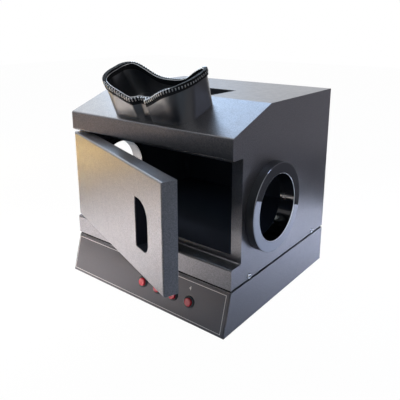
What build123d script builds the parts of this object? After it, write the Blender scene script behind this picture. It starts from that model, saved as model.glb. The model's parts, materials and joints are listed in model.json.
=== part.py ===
from build123d import *
import os
from math import atan2, cos, hypot, radians, sin

# UV analyzer cabinet: a dark viewing box with a hinged front door, a face hood on its sloping
# top, a hand port in each side and a base with four push buttons on its leaning front.
# Millimetres, +Z up. The front faces -Y, and +X is on the right of someone standing at it.
# The origin is on the table, under the middle of the cabinet's body.

os.makedirs("parts", exist_ok=True)

# Body
WIDTH = 300.0
DEPTH = 268.0
SHEET = 1.5
BEND = 2.5
SILL_HEIGHT = 28.5
DOORWAY_HEIGHT = 142.0
HEADER_HEIGHT = 28.0
DOOR_RECESS = 21.7
SLOPE_RUN = 85.0
SLOPE_RISE = 31.5
JAMB = 16.0
FRAME_LIP = 8.6
DOORWAY_CORNER = 2.0
REAR_FLANGE = 12.0

# Base and feet
FOOT_HEIGHT = 3.0
FOOT_RADIUS = 10.0
FOOT_INSET = 24.0
FOOT_TAPER = 12.0
BASE_HEIGHT = 58.0
BASE_TOE = 16.6
SEAL_HEIGHT = 3.5
SEAL_INSET = 1.8
SEAL_WIDTH = 10.0
PANEL_THICKNESS = 1.2
PANEL_MARGIN = 1.2
PANEL_CORNER = 1.5

# Door
DOOR_SIDE_GAP = 2.0
DOOR_DEPTH = 19.5
DOOR_GAP_BELOW = 1.5
DOOR_GAP_ABOVE = 4.0
DOOR_REST_ANGLE = 20.3
PIVOT_FROM_SIDE = 8.5
PIVOT_FROM_FRONT = 9.6
PIN_RADIUS = 3.0
PIN_CLEARANCE = 0.06
PIN_ENGAGEMENT = 7.5
PIN_BEVEL = 0.8
PIN_HEAD_RADIUS = 5.0
PIN_HEAD_HEIGHT = 2.0
BUSH_RADIUS = 4.8
BUSH_LENGTH = 8.0
BUSH_BEVEL = 0.4
WASHER_RADIUS = 6.0
WASHER_THICKNESS = 1.2
SLOT_FROM_FREE_EDGE = 37.5
SLOT_WIDTH = 34.5
SLOT_HEIGHT = 65.0
SLOT_ABOVE_DOOR_BOTTOM = 35.0
SLOT_UPPER_CORNER = 24.0
SLOT_LOWER_CORNER = 14.0
SLOT_SHARP_CORNER = 1.0
CUP_WALL = 1.6
CUP_DEPTH = 13.5
CUP_FLANGE = 5.0
CUP_ROUNDING = 1.5
LIGHT_SEAL_WIDTH = 4.0
LIGHT_SEAL_THICKNESS = 1.8
LIGHT_SEAL_MARGIN = 9.0
MAGNET_RADIUS = 3.0
MAGNET_LENGTH = 5.0
MAGNET_FROM_EDGE = 6.0
MAGNET_SPACING = 70.0

# Hand ports
PORT_FROM_FRONT = 90.0
PORT_ABOVE_BODY_BOTTOM = 89.5
PORT_RADIUS = 46.5
PORT_SLEEVE_WALL = 3.0
PORT_FLANGE_RADIUS = 62.0
PORT_FLANGE_DEPTH = 12.8
PORT_ROUNDING = 1.2
PORT_BEVEL = 0.7
PORT_SLEEVE_DEPTH = 10.0
PORT_NUT_RADIUS = 57.0
PORT_NUT_SCALLOPS = 12
PORT_NUT_SCALLOP_RADIUS = 5.0

# Viewing hood, measured on the slope: s runs up the slope from its front edge, h stands off it
HOOD_WALL = 2.5
HOOD_BASE_HALF_WIDTH = 71.5
HOOD_BASE_FRONT = 7.5
HOOD_BASE_REAR = 81.4
HOOD_BASE_FRONT_CORNER = 22.8
HOOD_BASE_REAR_CORNER = 19.8
HOOD_RIM_PLANE = 60.0
HOOD_RIM_HALF_WIDTH = 79.3
HOOD_RIM_FRONT = 2.4
HOOD_RIM_REAR = 75.5
HOOD_RIM_FRONT_CORNER = 40.9
HOOD_RIM_REAR_CORNER = 19.2
HOOD_FLANGE_THICKNESS = 2.5
NOSE_HALF_WIDTH = 14.0
NOSE_FLAT_HALF_WIDTH = 7.0
NOSE_BASE_DEPTH = 8.0
NOSE_RIM_DEPTH = 15.0
NOSE_CORNER = 4.0
SADDLE_FRONT_S = -20.0
SADDLE_REAR_S = 105.0
SADDLE_FRONT = ((0.0, 31.5), (45.0, 49.8), (70.0, 55.9), (100.0, 57.0))
SADDLE_REAR = ((0.0, 27.2), (30.0, 30.3), (50.0, 42.9), (68.0, 51.5), (100.0, 56.0))
SADDLE_TOP = 130.0
TRIM_PROUD = 1.6
TRIM_INSIDE = 1.0
TRIM_HEIGHT = 9.0
TRIM_CAP = 1.2

# Viewing window under the hood
WINDOW_HALF_WIDTH = 56.0
WINDOW_FRONT = 20.0
WINDOW_REAR = 62.0
WINDOW_CORNER = 6.0
WINDOW_OVERLAP = 6.0
WINDOW_GLASS = 3.0
GLASS_CORNER = 3.0
CLAMP_THICKNESS = 1.5
CLAMP_WIDTH = 9.0
CLAMP_CORNER = 4.0

# Port in the flat top
PHOTO_PORT_WIDTH = 96.0
PHOTO_PORT_DEPTH = 62.0
PHOTO_PORT_FROM_FRONT = 95.0
PHOTO_PORT_CORNER = 4.0
PHOTO_WELL_CORNER = 1.5
PHOTO_PORT_WALL = 2.5
PHOTO_PORT_DROP = 15.0
PHOTO_PORT_FLANGE = 5.0
PHOTO_PORT_LEDGE = 3.0
PHOTO_PORT_GLASS = 3.0

# Lamps under the rear of the flat top
REFLECTOR_FRONT = 168.0
REFLECTOR_DEPTH = 90.0
REFLECTOR_HEIGHT = 26.0
REFLECTOR_TAPER = 9.0
REFLECTOR_SHEET = 1.0
REFLECTOR_END_GAP = 14.5
REFLECTOR_BELOW_TOP = 4.0
TUBE_RADIUS = 7.8
TUBE_GLASS_LENGTH = 196.0
TUBE_CAP_LENGTH = 8.0
TUBE_CAP_RADIUS = 8.0
TUBE_PITCH = 23.0
TUBE_BELOW_REFLECTOR = 12.5
HOLDER_THICKNESS = 9.0
HOLDER_WIDTH = 18.0
HOLDER_ROUNDING = 4.0
FILTER_THICKNESS = 3.0
FILTER_FRAME_WIDTH = 8.0
FILTER_FRAME_SHEET = 1.5

# Chamber floor and body pan
PAN_FLANGE = 12.0
FLOOR_CLEARANCE = 1.0

# Buttons, measured down the leaning panel from its top edge
BUTTON_COUNT = 4
BUTTON_FIRST_X = 2.0
BUTTON_PITCH = 28.7
BUTTON_DOWN_PANEL = 31.9
BUTTON_CAP_RADIUS = 5.7
BUTTON_CAP_PROUD = 4.5
BUTTON_CAP_ROUNDING = 1.0
BUTTON_CAP_DEPTH = 8.5
BUTTON_CLEARANCE = 0.3
BEZEL_RADIUS = 8.3
BEZEL_PROUD = 2.0
BEZEL_ROUNDING = 0.8
BARREL_RADIUS = 7.0
BARREL_DEPTH = 12.0
STEM_RADIUS = 1.7
STEM_DEPTH = 8.0
SWITCH_NUT_RADIUS = 9.5
SWITCH_NUT_THICKNESS = 2.5
SWITCH_SIZE = 15.0
SWITCH_CORNER = 1.0
SWITCH_DEPTH = 16.0
SWITCH_WALL_BEHIND_STEM = 4.0

# Screws
SCREW_RADIUS = 2.0
SCREW_HEAD_RADIUS = 3.9
SCREW_HEAD_HEIGHT = 2.4
SCREW_HEAD_ROUNDING = 1.5
SCREW_LENGTH = 7.0
RECESS_LENGTH = 4.4
RECESS_WIDTH = 1.1
RECESS_DEPTH = 1.3
SIDE_SCREW_FROM_FRONT = (41.0, 227.0)
SIDE_SCREW_UP = 4.2
REAR_SCREW_INSET = 20.0
BODY_SCREW_INSET = (20.0, 30.0)

# Rear of the base
INLET_FROM_SIDE = 50.0
INLET_WIDTH = 27.5
INLET_HEIGHT = 20.0
INLET_EAR = 11.0
INLET_LIP = 2.0
INLET_CORNER = 3.0
INLET_DEPTH = 22.0
INLET_WALL = 2.0
INLET_BEVEL = 4.0
INLET_PIN_SPACING = 7.0
INLET_PIN_RISE = 2.0
INLET_PIN_WIDTH = 2.0
INLET_PIN_HEIGHT = 4.0
INLET_PIN_LENGTH = 15.0
FUSE_FROM_INLET = 44.0
FUSE_RADIUS = 6.0
FUSE_FLANGE_RADIUS = 8.5
FUSE_FLANGE_HEIGHT = 2.0
FUSE_KNOB_HEIGHT = 5.0
FUSE_DEPTH = 28.0
FUSE_SLOT_WIDTH = 1.6
FUSE_SLOT_LENGTH = 9.0
VENT_COUNT = 9
VENT_PITCH = 14.0
VENT_WIDTH = 4.0
VENT_HEIGHT = 16.0

# Ballasts and terminal block in the base
BALLAST_X = -70.0
BALLAST_SPACING = 70.0
BALLAST_LENGTH = 110.0
BALLAST_WIDTH = 40.0
BALLAST_HEIGHT = 30.0
BALLAST_TAB = 10.0
BALLAST_ROUNDING = 3.0
TERMINAL_Y = 70.0
TERMINAL_COUNT = 6
TERMINAL_PITCH = 8.0
TERMINAL_WIDTH = 16.0
TERMINAL_HEIGHT = 12.0
TERMINAL_HOLE_RADIUS = 1.6

# How near a line a corner lies to be counted as on it
NEAR = 1.0

# Levels and planes worked out from the sizes above
HALF = WIDTH / 2
FRONT = -DEPTH / 2
REAR = DEPTH / 2
INSIDE_WIDTH = WIDTH - 2 * SHEET
BASE_TOP = FOOT_HEIGHT + BASE_HEIGHT
BODY_BOTTOM = BASE_TOP + SEAL_HEIGHT
SILL_TOP = BODY_BOTTOM + SILL_HEIGHT
HEADER_BOTTOM = SILL_TOP + DOORWAY_HEIGHT
FRONT_TOP = HEADER_BOTTOM + HEADER_HEIGHT
TOP = FRONT_TOP + SLOPE_RISE
PORT_Y = FRONT + PORT_FROM_FRONT
PORT_Z = BODY_BOTTOM + PORT_ABOVE_BODY_BOTTOM
SLEEVE_RADIUS = PORT_RADIUS + PORT_SLEEVE_WALL
REAR_SCREW_X = HALF - SHEET - REAR_FLANGE / 2
REAR_SCREW_LEVELS = [SILL_TOP + REAR_SCREW_INSET + i * (TOP - SILL_TOP - 2 * REAR_SCREW_INSET) / 2 for i in range(3)]

SLOPE_ANGLE = atan2(SLOPE_RISE, SLOPE_RUN)
SLOPE = Plane(origin=(0, FRONT, FRONT_TOP), x_dir=(1, 0, 0), z_dir=(0, -sin(SLOPE_ANGLE), cos(SLOPE_ANGLE)))

LEAN = atan2(BASE_TOE, BASE_HEIGHT)
PANEL_LENGTH = hypot(BASE_TOE, BASE_HEIGHT)
PANEL = Plane(origin=(0, FRONT, BASE_TOP), x_dir=(1, 0, 0), z_dir=(0, -cos(LEAN), sin(LEAN)))

PIVOT_X = -HALF + PIVOT_FROM_SIDE
PIVOT_Y = FRONT + PIVOT_FROM_FRONT
DOOR_BOTTOM = SILL_TOP + DOOR_GAP_BELOW
DOOR_TOP = HEADER_BOTTOM - DOOR_GAP_ABOVE
DOOR_HEIGHT = DOOR_TOP - DOOR_BOTTOM
DOOR_WIDTH = WIDTH - 2 * DOOR_SIDE_GAP
OPEN = radians(DOOR_REST_ANGLE)
DOOR = Plane(origin=(PIVOT_X, PIVOT_Y, DOOR_BOTTOM), x_dir=(cos(OPEN), -sin(OPEN), 0), z_dir=(0, 0, 1))
DOOR_LEFT = DOOR_SIDE_GAP - PIVOT_FROM_SIDE
DOOR_MIDDLE = DOOR_LEFT + DOOR_WIDTH / 2
DOOR_FACE = -PIVOT_FROM_FRONT
DOOR_BACK = DOOR_FACE + DOOR_DEPTH
ACROSS_DOOR = Axis(origin=DOOR.origin, direction=DOOR.y_dir)


def door_plane(depth):
    """The upright plane across the door at a depth from its pivot axis, facing out of the door."""
    return Plane(origin=DOOR.from_local_coords((0, depth, 0)), x_dir=DOOR.x_dir, z_dir=-DOOR.y_dir)


def write(builder, name):
    """Label a finished piece and write it under its own name."""
    builder.part.label = name
    export_step(builder.part, "parts/" + name + ".step")


# Side panels: notched in front for the door, with a folded flange at the rear
with BuildPart() as side_panel_right:
    with BuildSketch(Plane.YZ.offset(HALF - SHEET)):
        with BuildLine():
            Polyline(
                (FRONT, BODY_BOTTOM), (FRONT, SILL_TOP), (FRONT + DOOR_RECESS, SILL_TOP),
                (FRONT + DOOR_RECESS, HEADER_BOTTOM), (FRONT, HEADER_BOTTOM), (FRONT, FRONT_TOP),
                (FRONT + SLOPE_RUN, TOP), (REAR, TOP), (REAR, BODY_BOTTOM), close=True)
        outline = make_face()
        front_corners = outline.vertices().filter_by_position(Axis.X, FRONT - 0.1, FRONT + SLOPE_RUN + 0.1)
        fillet(front_corners.filter_by(lambda v: v.Y > BODY_BOTTOM + NEAR), radius=BEND)
        with Locations((PORT_Y, PORT_Z)):
            Circle(SLEEVE_RADIUS, mode=Mode.SUBTRACT)
        with Locations([(FRONT + y, BODY_BOTTOM + SIDE_SCREW_UP) for y in SIDE_SCREW_FROM_FRONT]):
            Circle(SCREW_RADIUS, mode=Mode.SUBTRACT)
    extrude(amount=SHEET)
    with BuildSketch(Plane.XZ.offset(-(REAR - 2 * SHEET))):
        with Locations((HALF - SHEET, BODY_BOTTOM + PAN_FLANGE)):
            Rectangle(REAR_FLANGE, TOP - 2 * SHEET - BODY_BOTTOM - PAN_FLANGE, align=(Align.MAX, Align.MIN))
    extrude(amount=-SHEET)
    with BuildSketch(Plane.XZ.offset(-(REAR - 2 * SHEET))):
        with Locations([(REAR_SCREW_X, z) for z in REAR_SCREW_LEVELS]):
            Circle(SCREW_RADIUS)
    extrude(amount=-SHEET, mode=Mode.SUBTRACT)
write(side_panel_right, "side_panel_right")

with BuildPart() as side_panel_left:
    mirror(side_panel_right.part, about=Plane.YZ)
write(side_panel_left, "side_panel_left")

WINDOW_S = (WINDOW_FRONT + WINDOW_REAR) / 2

# Top cover: the header strip with its turned-in lip, the slope and the flat top, one folded sheet
PHOTO_PORT_Y = FRONT + PHOTO_PORT_FROM_FRONT + PHOTO_PORT_DEPTH / 2
with BuildPart() as top_cover:
    with BuildSketch(Plane.YZ.offset(-INSIDE_WIDTH / 2)):
        with BuildLine():
            fold = FilletPolyline(
                (FRONT + DOOR_RECESS, HEADER_BOTTOM), (FRONT, HEADER_BOTTOM), (FRONT, FRONT_TOP),
                (FRONT + SLOPE_RUN, TOP), (REAR, TOP), radius=BEND)
            offset(fold, amount=SHEET, side=Side.RIGHT)
        make_face()
    extrude(amount=INSIDE_WIDTH)
    with BuildSketch(SLOPE):
        with Locations((0, WINDOW_S)):
            RectangleRounded(2 * WINDOW_HALF_WIDTH, WINDOW_REAR - WINDOW_FRONT, WINDOW_CORNER)
    extrude(amount=-2 * SHEET, mode=Mode.SUBTRACT)
    with BuildSketch(Plane.XY.offset(TOP)):
        with Locations((0, PHOTO_PORT_Y)):
            RectangleRounded(PHOTO_PORT_WIDTH, PHOTO_PORT_DEPTH, PHOTO_PORT_CORNER)
    extrude(amount=-2 * SHEET, mode=Mode.SUBTRACT)
    with BuildSketch(Plane.XY.offset(HEADER_BOTTOM)):
        with Locations((PIVOT_X, PIVOT_Y)):
            Circle(PIN_RADIUS)
    extrude(amount=SHEET, mode=Mode.SUBTRACT)
write(top_cover, "top_cover")

# Door frame: the lower strip, the ledge and the recessed frame round the doorway
with BuildPart() as door_frame:
    with BuildSketch(Plane.YZ.offset(-INSIDE_WIDTH / 2)):
        with BuildLine():
            fold = FilletPolyline(
                (FRONT, BODY_BOTTOM), (FRONT, SILL_TOP), (FRONT + DOOR_RECESS, SILL_TOP),
                (FRONT + DOOR_RECESS, HEADER_BOTTOM + FRAME_LIP), radius=BEND)
            offset(fold, amount=SHEET, side=Side.RIGHT)
        make_face()
    extrude(amount=INSIDE_WIDTH)
    with BuildSketch(Plane.XZ.offset(-(FRONT + DOOR_RECESS - SHEET))):
        with Locations((0, (SILL_TOP + HEADER_BOTTOM) / 2)):
            RectangleRounded(WIDTH - 2 * JAMB, DOORWAY_HEIGHT - 2 * FRAME_LIP, DOORWAY_CORNER)
    extrude(amount=-3 * SHEET, mode=Mode.SUBTRACT)
    with BuildSketch(Plane.XY.offset(SILL_TOP)):
        with Locations((PIVOT_X, PIVOT_Y)):
            Circle(PIN_RADIUS)
    extrude(amount=-SHEET, mode=Mode.SUBTRACT)
write(door_frame, "door_frame")

# Rear panel with a row of lamp vents behind the reflector
REFLECTOR_TOP = TOP - SHEET - REFLECTOR_BELOW_TOP
REFLECTOR_BOTTOM = REFLECTOR_TOP - REFLECTOR_HEIGHT
with BuildPart() as rear_panel:
    with BuildSketch(Plane.XZ.offset(-(REAR - SHEET))):
        with Locations((0, BODY_BOTTOM)):
            Rectangle(INSIDE_WIDTH, TOP - SHEET - BODY_BOTTOM, align=(Align.CENTER, Align.MIN))
        with Locations((0, REFLECTOR_BOTTOM + REFLECTOR_HEIGHT / 2)):
            with GridLocations(VENT_PITCH, 1, VENT_COUNT, 1):
                SlotOverall(VENT_HEIGHT, VENT_WIDTH, rotation=90, mode=Mode.SUBTRACT)
        with Locations([(side * REAR_SCREW_X, z) for side in (-1, 1) for z in REAR_SCREW_LEVELS]):
            Circle(SCREW_RADIUS, mode=Mode.SUBTRACT)
    extrude(amount=-SHEET)
write(rear_panel, "rear_panel")


def pan_head_screws(planes, length):
    """Pan-head screws with a cross recess, one on each plane, with the head on its outer side."""
    with BuildPart() as screw:
        with BuildSketch():
            Circle(SCREW_HEAD_RADIUS)
        extrude(amount=SCREW_HEAD_HEIGHT)
        fillet(screw.edges().group_by(Axis.Z)[-1], radius=SCREW_HEAD_ROUNDING)
        with BuildSketch(Plane.XY.offset(SCREW_HEAD_HEIGHT)):
            Rectangle(RECESS_LENGTH, RECESS_WIDTH)
            Rectangle(RECESS_WIDTH, RECESS_LENGTH)
        extrude(amount=-RECESS_DEPTH, mode=Mode.SUBTRACT)
        if length:
            with BuildSketch():
                Circle(SCREW_RADIUS)
            extrude(amount=-length)
    with BuildPart() as screws:
        with Locations(*planes):
            add(screw.part)
    return screws


rear_screws = pan_head_screws([Plane(origin=(side * REAR_SCREW_X, REAR, z), x_dir=(-1, 0, 0), z_dir=(0, 1, 0))
                               for side in (-1, 1) for z in REAR_SCREW_LEVELS], SCREW_LENGTH)
write(rear_screws, "rear_screws")

side_screws = pan_head_screws([Plane(origin=(side * HALF, FRONT + y, BODY_BOTTOM + SIDE_SCREW_UP),
                                     x_dir=(0, side, 0), z_dir=(side, 0, 0))
                               for side in (-1, 1) for y in SIDE_SCREW_FROM_FRONT], SCREW_LENGTH)
write(side_screws, "side_screws")

# Body pan: the bottom tray with a turned-up flange all round
BODY_SCREW_PLACES = [(side * (HALF - BODY_SCREW_INSET[0]), end * (REAR - BODY_SCREW_INSET[1]))
                     for side in (-1, 1) for end in (-1, 1)]
with BuildPart() as body_pan:
    with BuildSketch(Plane.XY.offset(BODY_BOTTOM)):
        Rectangle(INSIDE_WIDTH, DEPTH - 2 * SHEET)
    extrude(amount=PAN_FLANGE)
    offset(amount=-SHEET, openings=body_pan.faces().sort_by(Axis.Z)[-1])
    with BuildSketch(Plane.XY.offset(BODY_BOTTOM)):
        with Locations(BODY_SCREW_PLACES):
            Circle(SCREW_RADIUS)
    extrude(amount=SHEET, mode=Mode.SUBTRACT)
    for side in (-1, 1):
        with BuildSketch(Plane.YZ.offset(side * HALF)):
            with Locations([(FRONT + y, BODY_BOTTOM + SIDE_SCREW_UP) for y in SIDE_SCREW_FROM_FRONT]):
                Circle(SCREW_RADIUS)
        extrude(amount=-side * 3 * SHEET, mode=Mode.SUBTRACT)
write(body_pan, "body_pan")

# Chamber floor: a raised deck on two folded legs that stand in the pan
FLOOR_HALF = HALF - SCREW_LENGTH - FLOOR_CLEARANCE
FLOOR_FRONT = FRONT + DOOR_RECESS + SHEET
with BuildPart() as chamber_floor:
    with BuildSketch(Plane.XZ.offset(-FLOOR_FRONT)):
        with BuildLine():
            fold = FilletPolyline(
                (-FLOOR_HALF, BODY_BOTTOM + SHEET), (-FLOOR_HALF, SILL_TOP), (FLOOR_HALF, SILL_TOP),
                (FLOOR_HALF, BODY_BOTTOM + SHEET), radius=BEND)
            offset(fold, amount=SHEET, side=Side.RIGHT)
        make_face()
    extrude(amount=-(REAR - 2 * SHEET - FLOOR_FRONT))
write(chamber_floor, "chamber_floor")

# Hand ports: a collar with a sleeve through the wall, and a scalloped nut inside
with BuildPart() as port_ring_right:
    with BuildSketch(Plane.YZ.offset(HALF)):
        with Locations((PORT_Y, PORT_Z)):
            Circle(PORT_FLANGE_RADIUS)
    extrude(amount=PORT_FLANGE_DEPTH)
    with BuildSketch(Plane.YZ.offset(HALF - PORT_SLEEVE_DEPTH)):
        with Locations((PORT_Y, PORT_Z)):
            Circle(SLEEVE_RADIUS)
    extrude(amount=PORT_SLEEVE_DEPTH)
    with BuildSketch(Plane.YZ.offset(HALF - PORT_SLEEVE_DEPTH)):
        with Locations((PORT_Y, PORT_Z)):
            Circle(PORT_RADIUS)
    extrude(amount=PORT_SLEEVE_DEPTH + PORT_FLANGE_DEPTH, mode=Mode.SUBTRACT)
    outer_rims = port_ring_right.faces().sort_by(Axis.X)[-1].edges().filter_by(GeomType.CIRCLE).sort_by(SortBy.RADIUS)
    fillet(outer_rims[-1], radius=PORT_ROUNDING)
    inner_rim = port_ring_right.faces().sort_by(Axis.X)[-1].edges().filter_by(GeomType.CIRCLE).sort_by(SortBy.RADIUS)[0]
    chamfer(inner_rim, length=PORT_BEVEL)
write(port_ring_right, "port_ring_right")

with BuildPart() as port_ring_left:
    mirror(port_ring_right.part, about=Plane.YZ)
write(port_ring_left, "port_ring_left")

with BuildPart() as port_nut_right:
    with BuildSketch(Plane.YZ.offset(HALF - SHEET)):
        with Locations((PORT_Y, PORT_Z)):
            Circle(PORT_NUT_RADIUS)
            Circle(SLEEVE_RADIUS, mode=Mode.SUBTRACT)
            with PolarLocations(PORT_NUT_RADIUS + PORT_NUT_SCALLOP_RADIUS / 2, PORT_NUT_SCALLOPS):
                Circle(PORT_NUT_SCALLOP_RADIUS, mode=Mode.SUBTRACT)
    extrude(amount=-(PORT_SLEEVE_DEPTH - SHEET))
write(port_nut_right, "port_nut_right")

with BuildPart() as port_nut_left:
    mirror(port_nut_right.part, about=Plane.YZ)
write(port_nut_left, "port_nut_left")


# Viewing hood: a lofted shell with a nose groove, its rim cut to a saddle that fits a face
def hood_outline(height, half_width, front, rear, front_corner, rear_corner, nose_depth, grow):
    """One section of the hood at a height off the slope, grown or shrunk all round."""
    with BuildSketch(SLOPE.offset(height)) as outline:
        with BuildLine():
            Polyline(
                (-half_width, rear), (half_width, rear), (half_width, front), (NOSE_HALF_WIDTH, front),
                (NOSE_FLAT_HALF_WIDTH, front + nose_depth), (-NOSE_FLAT_HALF_WIDTH, front + nose_depth),
                (-NOSE_HALF_WIDTH, front), (-half_width, front), close=True)
        make_face()
        corners = outline.vertices()
        fillet(corners.filter_by(lambda v: abs(v.X) < half_width - NEAR), radius=NOSE_CORNER)
        fillet(outline.vertices().filter_by(lambda v: abs(v.X) > half_width - NEAR and v.Y < front + NEAR),
               radius=front_corner)
        fillet(outline.vertices().filter_by(lambda v: abs(v.X) > half_width - NEAR and v.Y > rear - NEAR),
               radius=rear_corner)
        if grow:
            offset(amount=grow, kind=Kind.TANGENT)
    return outline.sketch


def hood_loft(grow):
    """The hood's solid form, from its base on the slope to a plane over its highest rim."""
    with BuildPart() as form:
        add(hood_outline(0, HOOD_BASE_HALF_WIDTH, HOOD_BASE_FRONT, HOOD_BASE_REAR,
                         HOOD_BASE_FRONT_CORNER, HOOD_BASE_REAR_CORNER, NOSE_BASE_DEPTH, grow))
        add(hood_outline(HOOD_RIM_PLANE, HOOD_RIM_HALF_WIDTH, HOOD_RIM_FRONT, HOOD_RIM_REAR,
                         HOOD_RIM_FRONT_CORNER, HOOD_RIM_REAR_CORNER, NOSE_RIM_DEPTH, grow))
        loft()
    return form.part


def above_saddle(drop):
    """All the space over the rim's saddle, with the saddle lowered by a drop."""
    with BuildPart() as space:
        for s, heights in ((SADDLE_FRONT_S, SADDLE_FRONT), (SADDLE_REAR_S, SADDLE_REAR)):
            half = [(x, h - drop) for x, h in heights]
            curve = [(-x, h) for x, h in reversed(half[1:])] + half
            with BuildSketch(Plane(origin=SLOPE.from_local_coords((0, s, 0)), x_dir=(1, 0, 0), z_dir=-SLOPE.y_dir)):
                with BuildLine():
                    Spline(*curve)
                    Polyline(curve[-1], (curve[-1][0], SADDLE_TOP), (curve[0][0], SADDLE_TOP), curve[0])
                make_face()
        loft(ruled=True)
    return space.part


with BuildPart() as viewing_hood:
    add(hood_loft(0))
    add(hood_loft(-HOOD_WALL), mode=Mode.SUBTRACT)
    add(above_saddle(TRIM_CAP), mode=Mode.SUBTRACT)
    extrude(hood_outline(0, HOOD_BASE_HALF_WIDTH, HOOD_BASE_FRONT, HOOD_BASE_REAR, HOOD_BASE_FRONT_CORNER,
                         HOOD_BASE_REAR_CORNER, NOSE_BASE_DEPTH, -HOOD_WALL / 2), amount=HOOD_FLANGE_THICKNESS)
    with BuildSketch(SLOPE):
        with Locations((0, WINDOW_S)):
            RectangleRounded(2 * WINDOW_HALF_WIDTH, WINDOW_REAR - WINDOW_FRONT, WINDOW_CORNER)
    extrude(amount=HOOD_FLANGE_THICKNESS, mode=Mode.SUBTRACT)
write(viewing_hood, "viewing_hood")

# Edge trim: a channel pushed over the hood's rim
with BuildPart() as hood_edge_trim:
    add(hood_loft(TRIM_PROUD))
    add(hood_loft(-HOOD_WALL - TRIM_INSIDE), mode=Mode.SUBTRACT)
    add(above_saddle(TRIM_HEIGHT), mode=Mode.INTERSECT)
    add(above_saddle(0), mode=Mode.SUBTRACT)
    add(viewing_hood.part, mode=Mode.SUBTRACT)
write(hood_edge_trim, "hood_edge_trim")

# Viewing window under the slope, with its clamp frame
GLASS_WIDTH = 2 * (WINDOW_HALF_WIDTH + WINDOW_OVERLAP)
GLASS_DEPTH = WINDOW_REAR - WINDOW_FRONT + 2 * WINDOW_OVERLAP
with BuildPart() as viewing_window:
    with BuildSketch(SLOPE.offset(-SHEET)):
        with Locations((0, WINDOW_S)):
            RectangleRounded(GLASS_WIDTH, GLASS_DEPTH, GLASS_CORNER)
    extrude(amount=-WINDOW_GLASS)
write(viewing_window, "viewing_window")

with BuildPart() as window_clamp:
    with BuildSketch(SLOPE.offset(-SHEET)):
        with Locations((0, WINDOW_S)):
            RectangleRounded(GLASS_WIDTH + 2 * CLAMP_WIDTH, GLASS_DEPTH + CLAMP_WIDTH, CLAMP_CORNER)
            RectangleRounded(GLASS_WIDTH, GLASS_DEPTH, GLASS_CORNER, mode=Mode.SUBTRACT)
    extrude(amount=-WINDOW_GLASS)
    with BuildSketch(SLOPE.offset(-SHEET - WINDOW_GLASS)):
        with Locations((0, WINDOW_S)):
            RectangleRounded(GLASS_WIDTH + 2 * CLAMP_WIDTH, GLASS_DEPTH + CLAMP_WIDTH, CLAMP_CORNER)
            RectangleRounded(2 * WINDOW_HALF_WIDTH, WINDOW_REAR - WINDOW_FRONT, WINDOW_CORNER,
                             mode=Mode.SUBTRACT)
    extrude(amount=-CLAMP_THICKNESS)
write(window_clamp, "window_clamp")

# Port in the flat top: a black lining with a ledge that holds its glass
PHOTO_WELL_WIDTH = PHOTO_PORT_WIDTH - 2 * PHOTO_PORT_WALL
PHOTO_WELL_DEPTH = PHOTO_PORT_DEPTH - 2 * PHOTO_PORT_WALL
with BuildPart() as photo_port_frame:
    with BuildSketch(Plane.XY.offset(TOP)):
        with Locations((0, PHOTO_PORT_Y)):
            RectangleRounded(PHOTO_PORT_WIDTH, PHOTO_PORT_DEPTH, PHOTO_PORT_CORNER)
            RectangleRounded(PHOTO_WELL_WIDTH, PHOTO_WELL_DEPTH, PHOTO_WELL_CORNER, mode=Mode.SUBTRACT)
    extrude(amount=-PHOTO_PORT_DROP)
    with BuildSketch(Plane.XY.offset(TOP - SHEET)):
        with Locations((0, PHOTO_PORT_Y)):
            RectangleRounded(PHOTO_PORT_WIDTH + 2 * PHOTO_PORT_FLANGE, PHOTO_PORT_DEPTH + 2 * PHOTO_PORT_FLANGE,
                             PHOTO_PORT_CORNER)
            RectangleRounded(PHOTO_WELL_WIDTH, PHOTO_WELL_DEPTH, PHOTO_WELL_CORNER, mode=Mode.SUBTRACT)
    extrude(amount=-SHEET)
    with BuildSketch(Plane.XY.offset(TOP - PHOTO_PORT_DROP)):
        with Locations((0, PHOTO_PORT_Y)):
            Rectangle(PHOTO_PORT_WIDTH - PHOTO_PORT_WALL, PHOTO_PORT_DEPTH - PHOTO_PORT_WALL)
            Rectangle(PHOTO_WELL_WIDTH - 2 * PHOTO_PORT_LEDGE, PHOTO_WELL_DEPTH - 2 * PHOTO_PORT_LEDGE,
                      mode=Mode.SUBTRACT)
    extrude(amount=SHEET)
write(photo_port_frame, "photo_port_frame")

with BuildPart() as photo_port_glass:
    with BuildSketch(Plane.XY.offset(TOP - PHOTO_PORT_DROP + SHEET)):
        with Locations((0, PHOTO_PORT_Y)):
            RectangleRounded(PHOTO_WELL_WIDTH, PHOTO_WELL_DEPTH, PHOTO_WELL_CORNER)
    extrude(amount=PHOTO_PORT_GLASS)
write(photo_port_glass, "photo_port_glass")

# Lamps: a folded reflector hung under the flat top, three tubes, their holders and the filter
REFLECTOR_HALF_LENGTH = HALF - SHEET - REFLECTOR_END_GAP
REFLECTOR_Y0 = FRONT + REFLECTOR_FRONT
REFLECTOR_Y1 = REFLECTOR_Y0 + REFLECTOR_DEPTH
REFLECTOR_MIDDLE = (REFLECTOR_Y0 + REFLECTOR_Y1) / 2
with BuildPart() as lamp_reflector:
    with BuildSketch(Plane.YZ.offset(-REFLECTOR_HALF_LENGTH)):
        with BuildLine():
            fold = FilletPolyline(
                (REFLECTOR_Y0, REFLECTOR_BOTTOM), (REFLECTOR_Y0 + REFLECTOR_TAPER, REFLECTOR_TOP),
                (REFLECTOR_Y1 - REFLECTOR_TAPER, REFLECTOR_TOP), (REFLECTOR_Y1, REFLECTOR_BOTTOM), radius=BEND)
            offset(fold, amount=REFLECTOR_SHEET, side=Side.RIGHT)
        make_face()
    extrude(amount=2 * REFLECTOR_HALF_LENGTH)
    split(bisect_by=Plane.XY.offset(REFLECTOR_BOTTOM))
write(lamp_reflector, "lamp_reflector")

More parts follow.
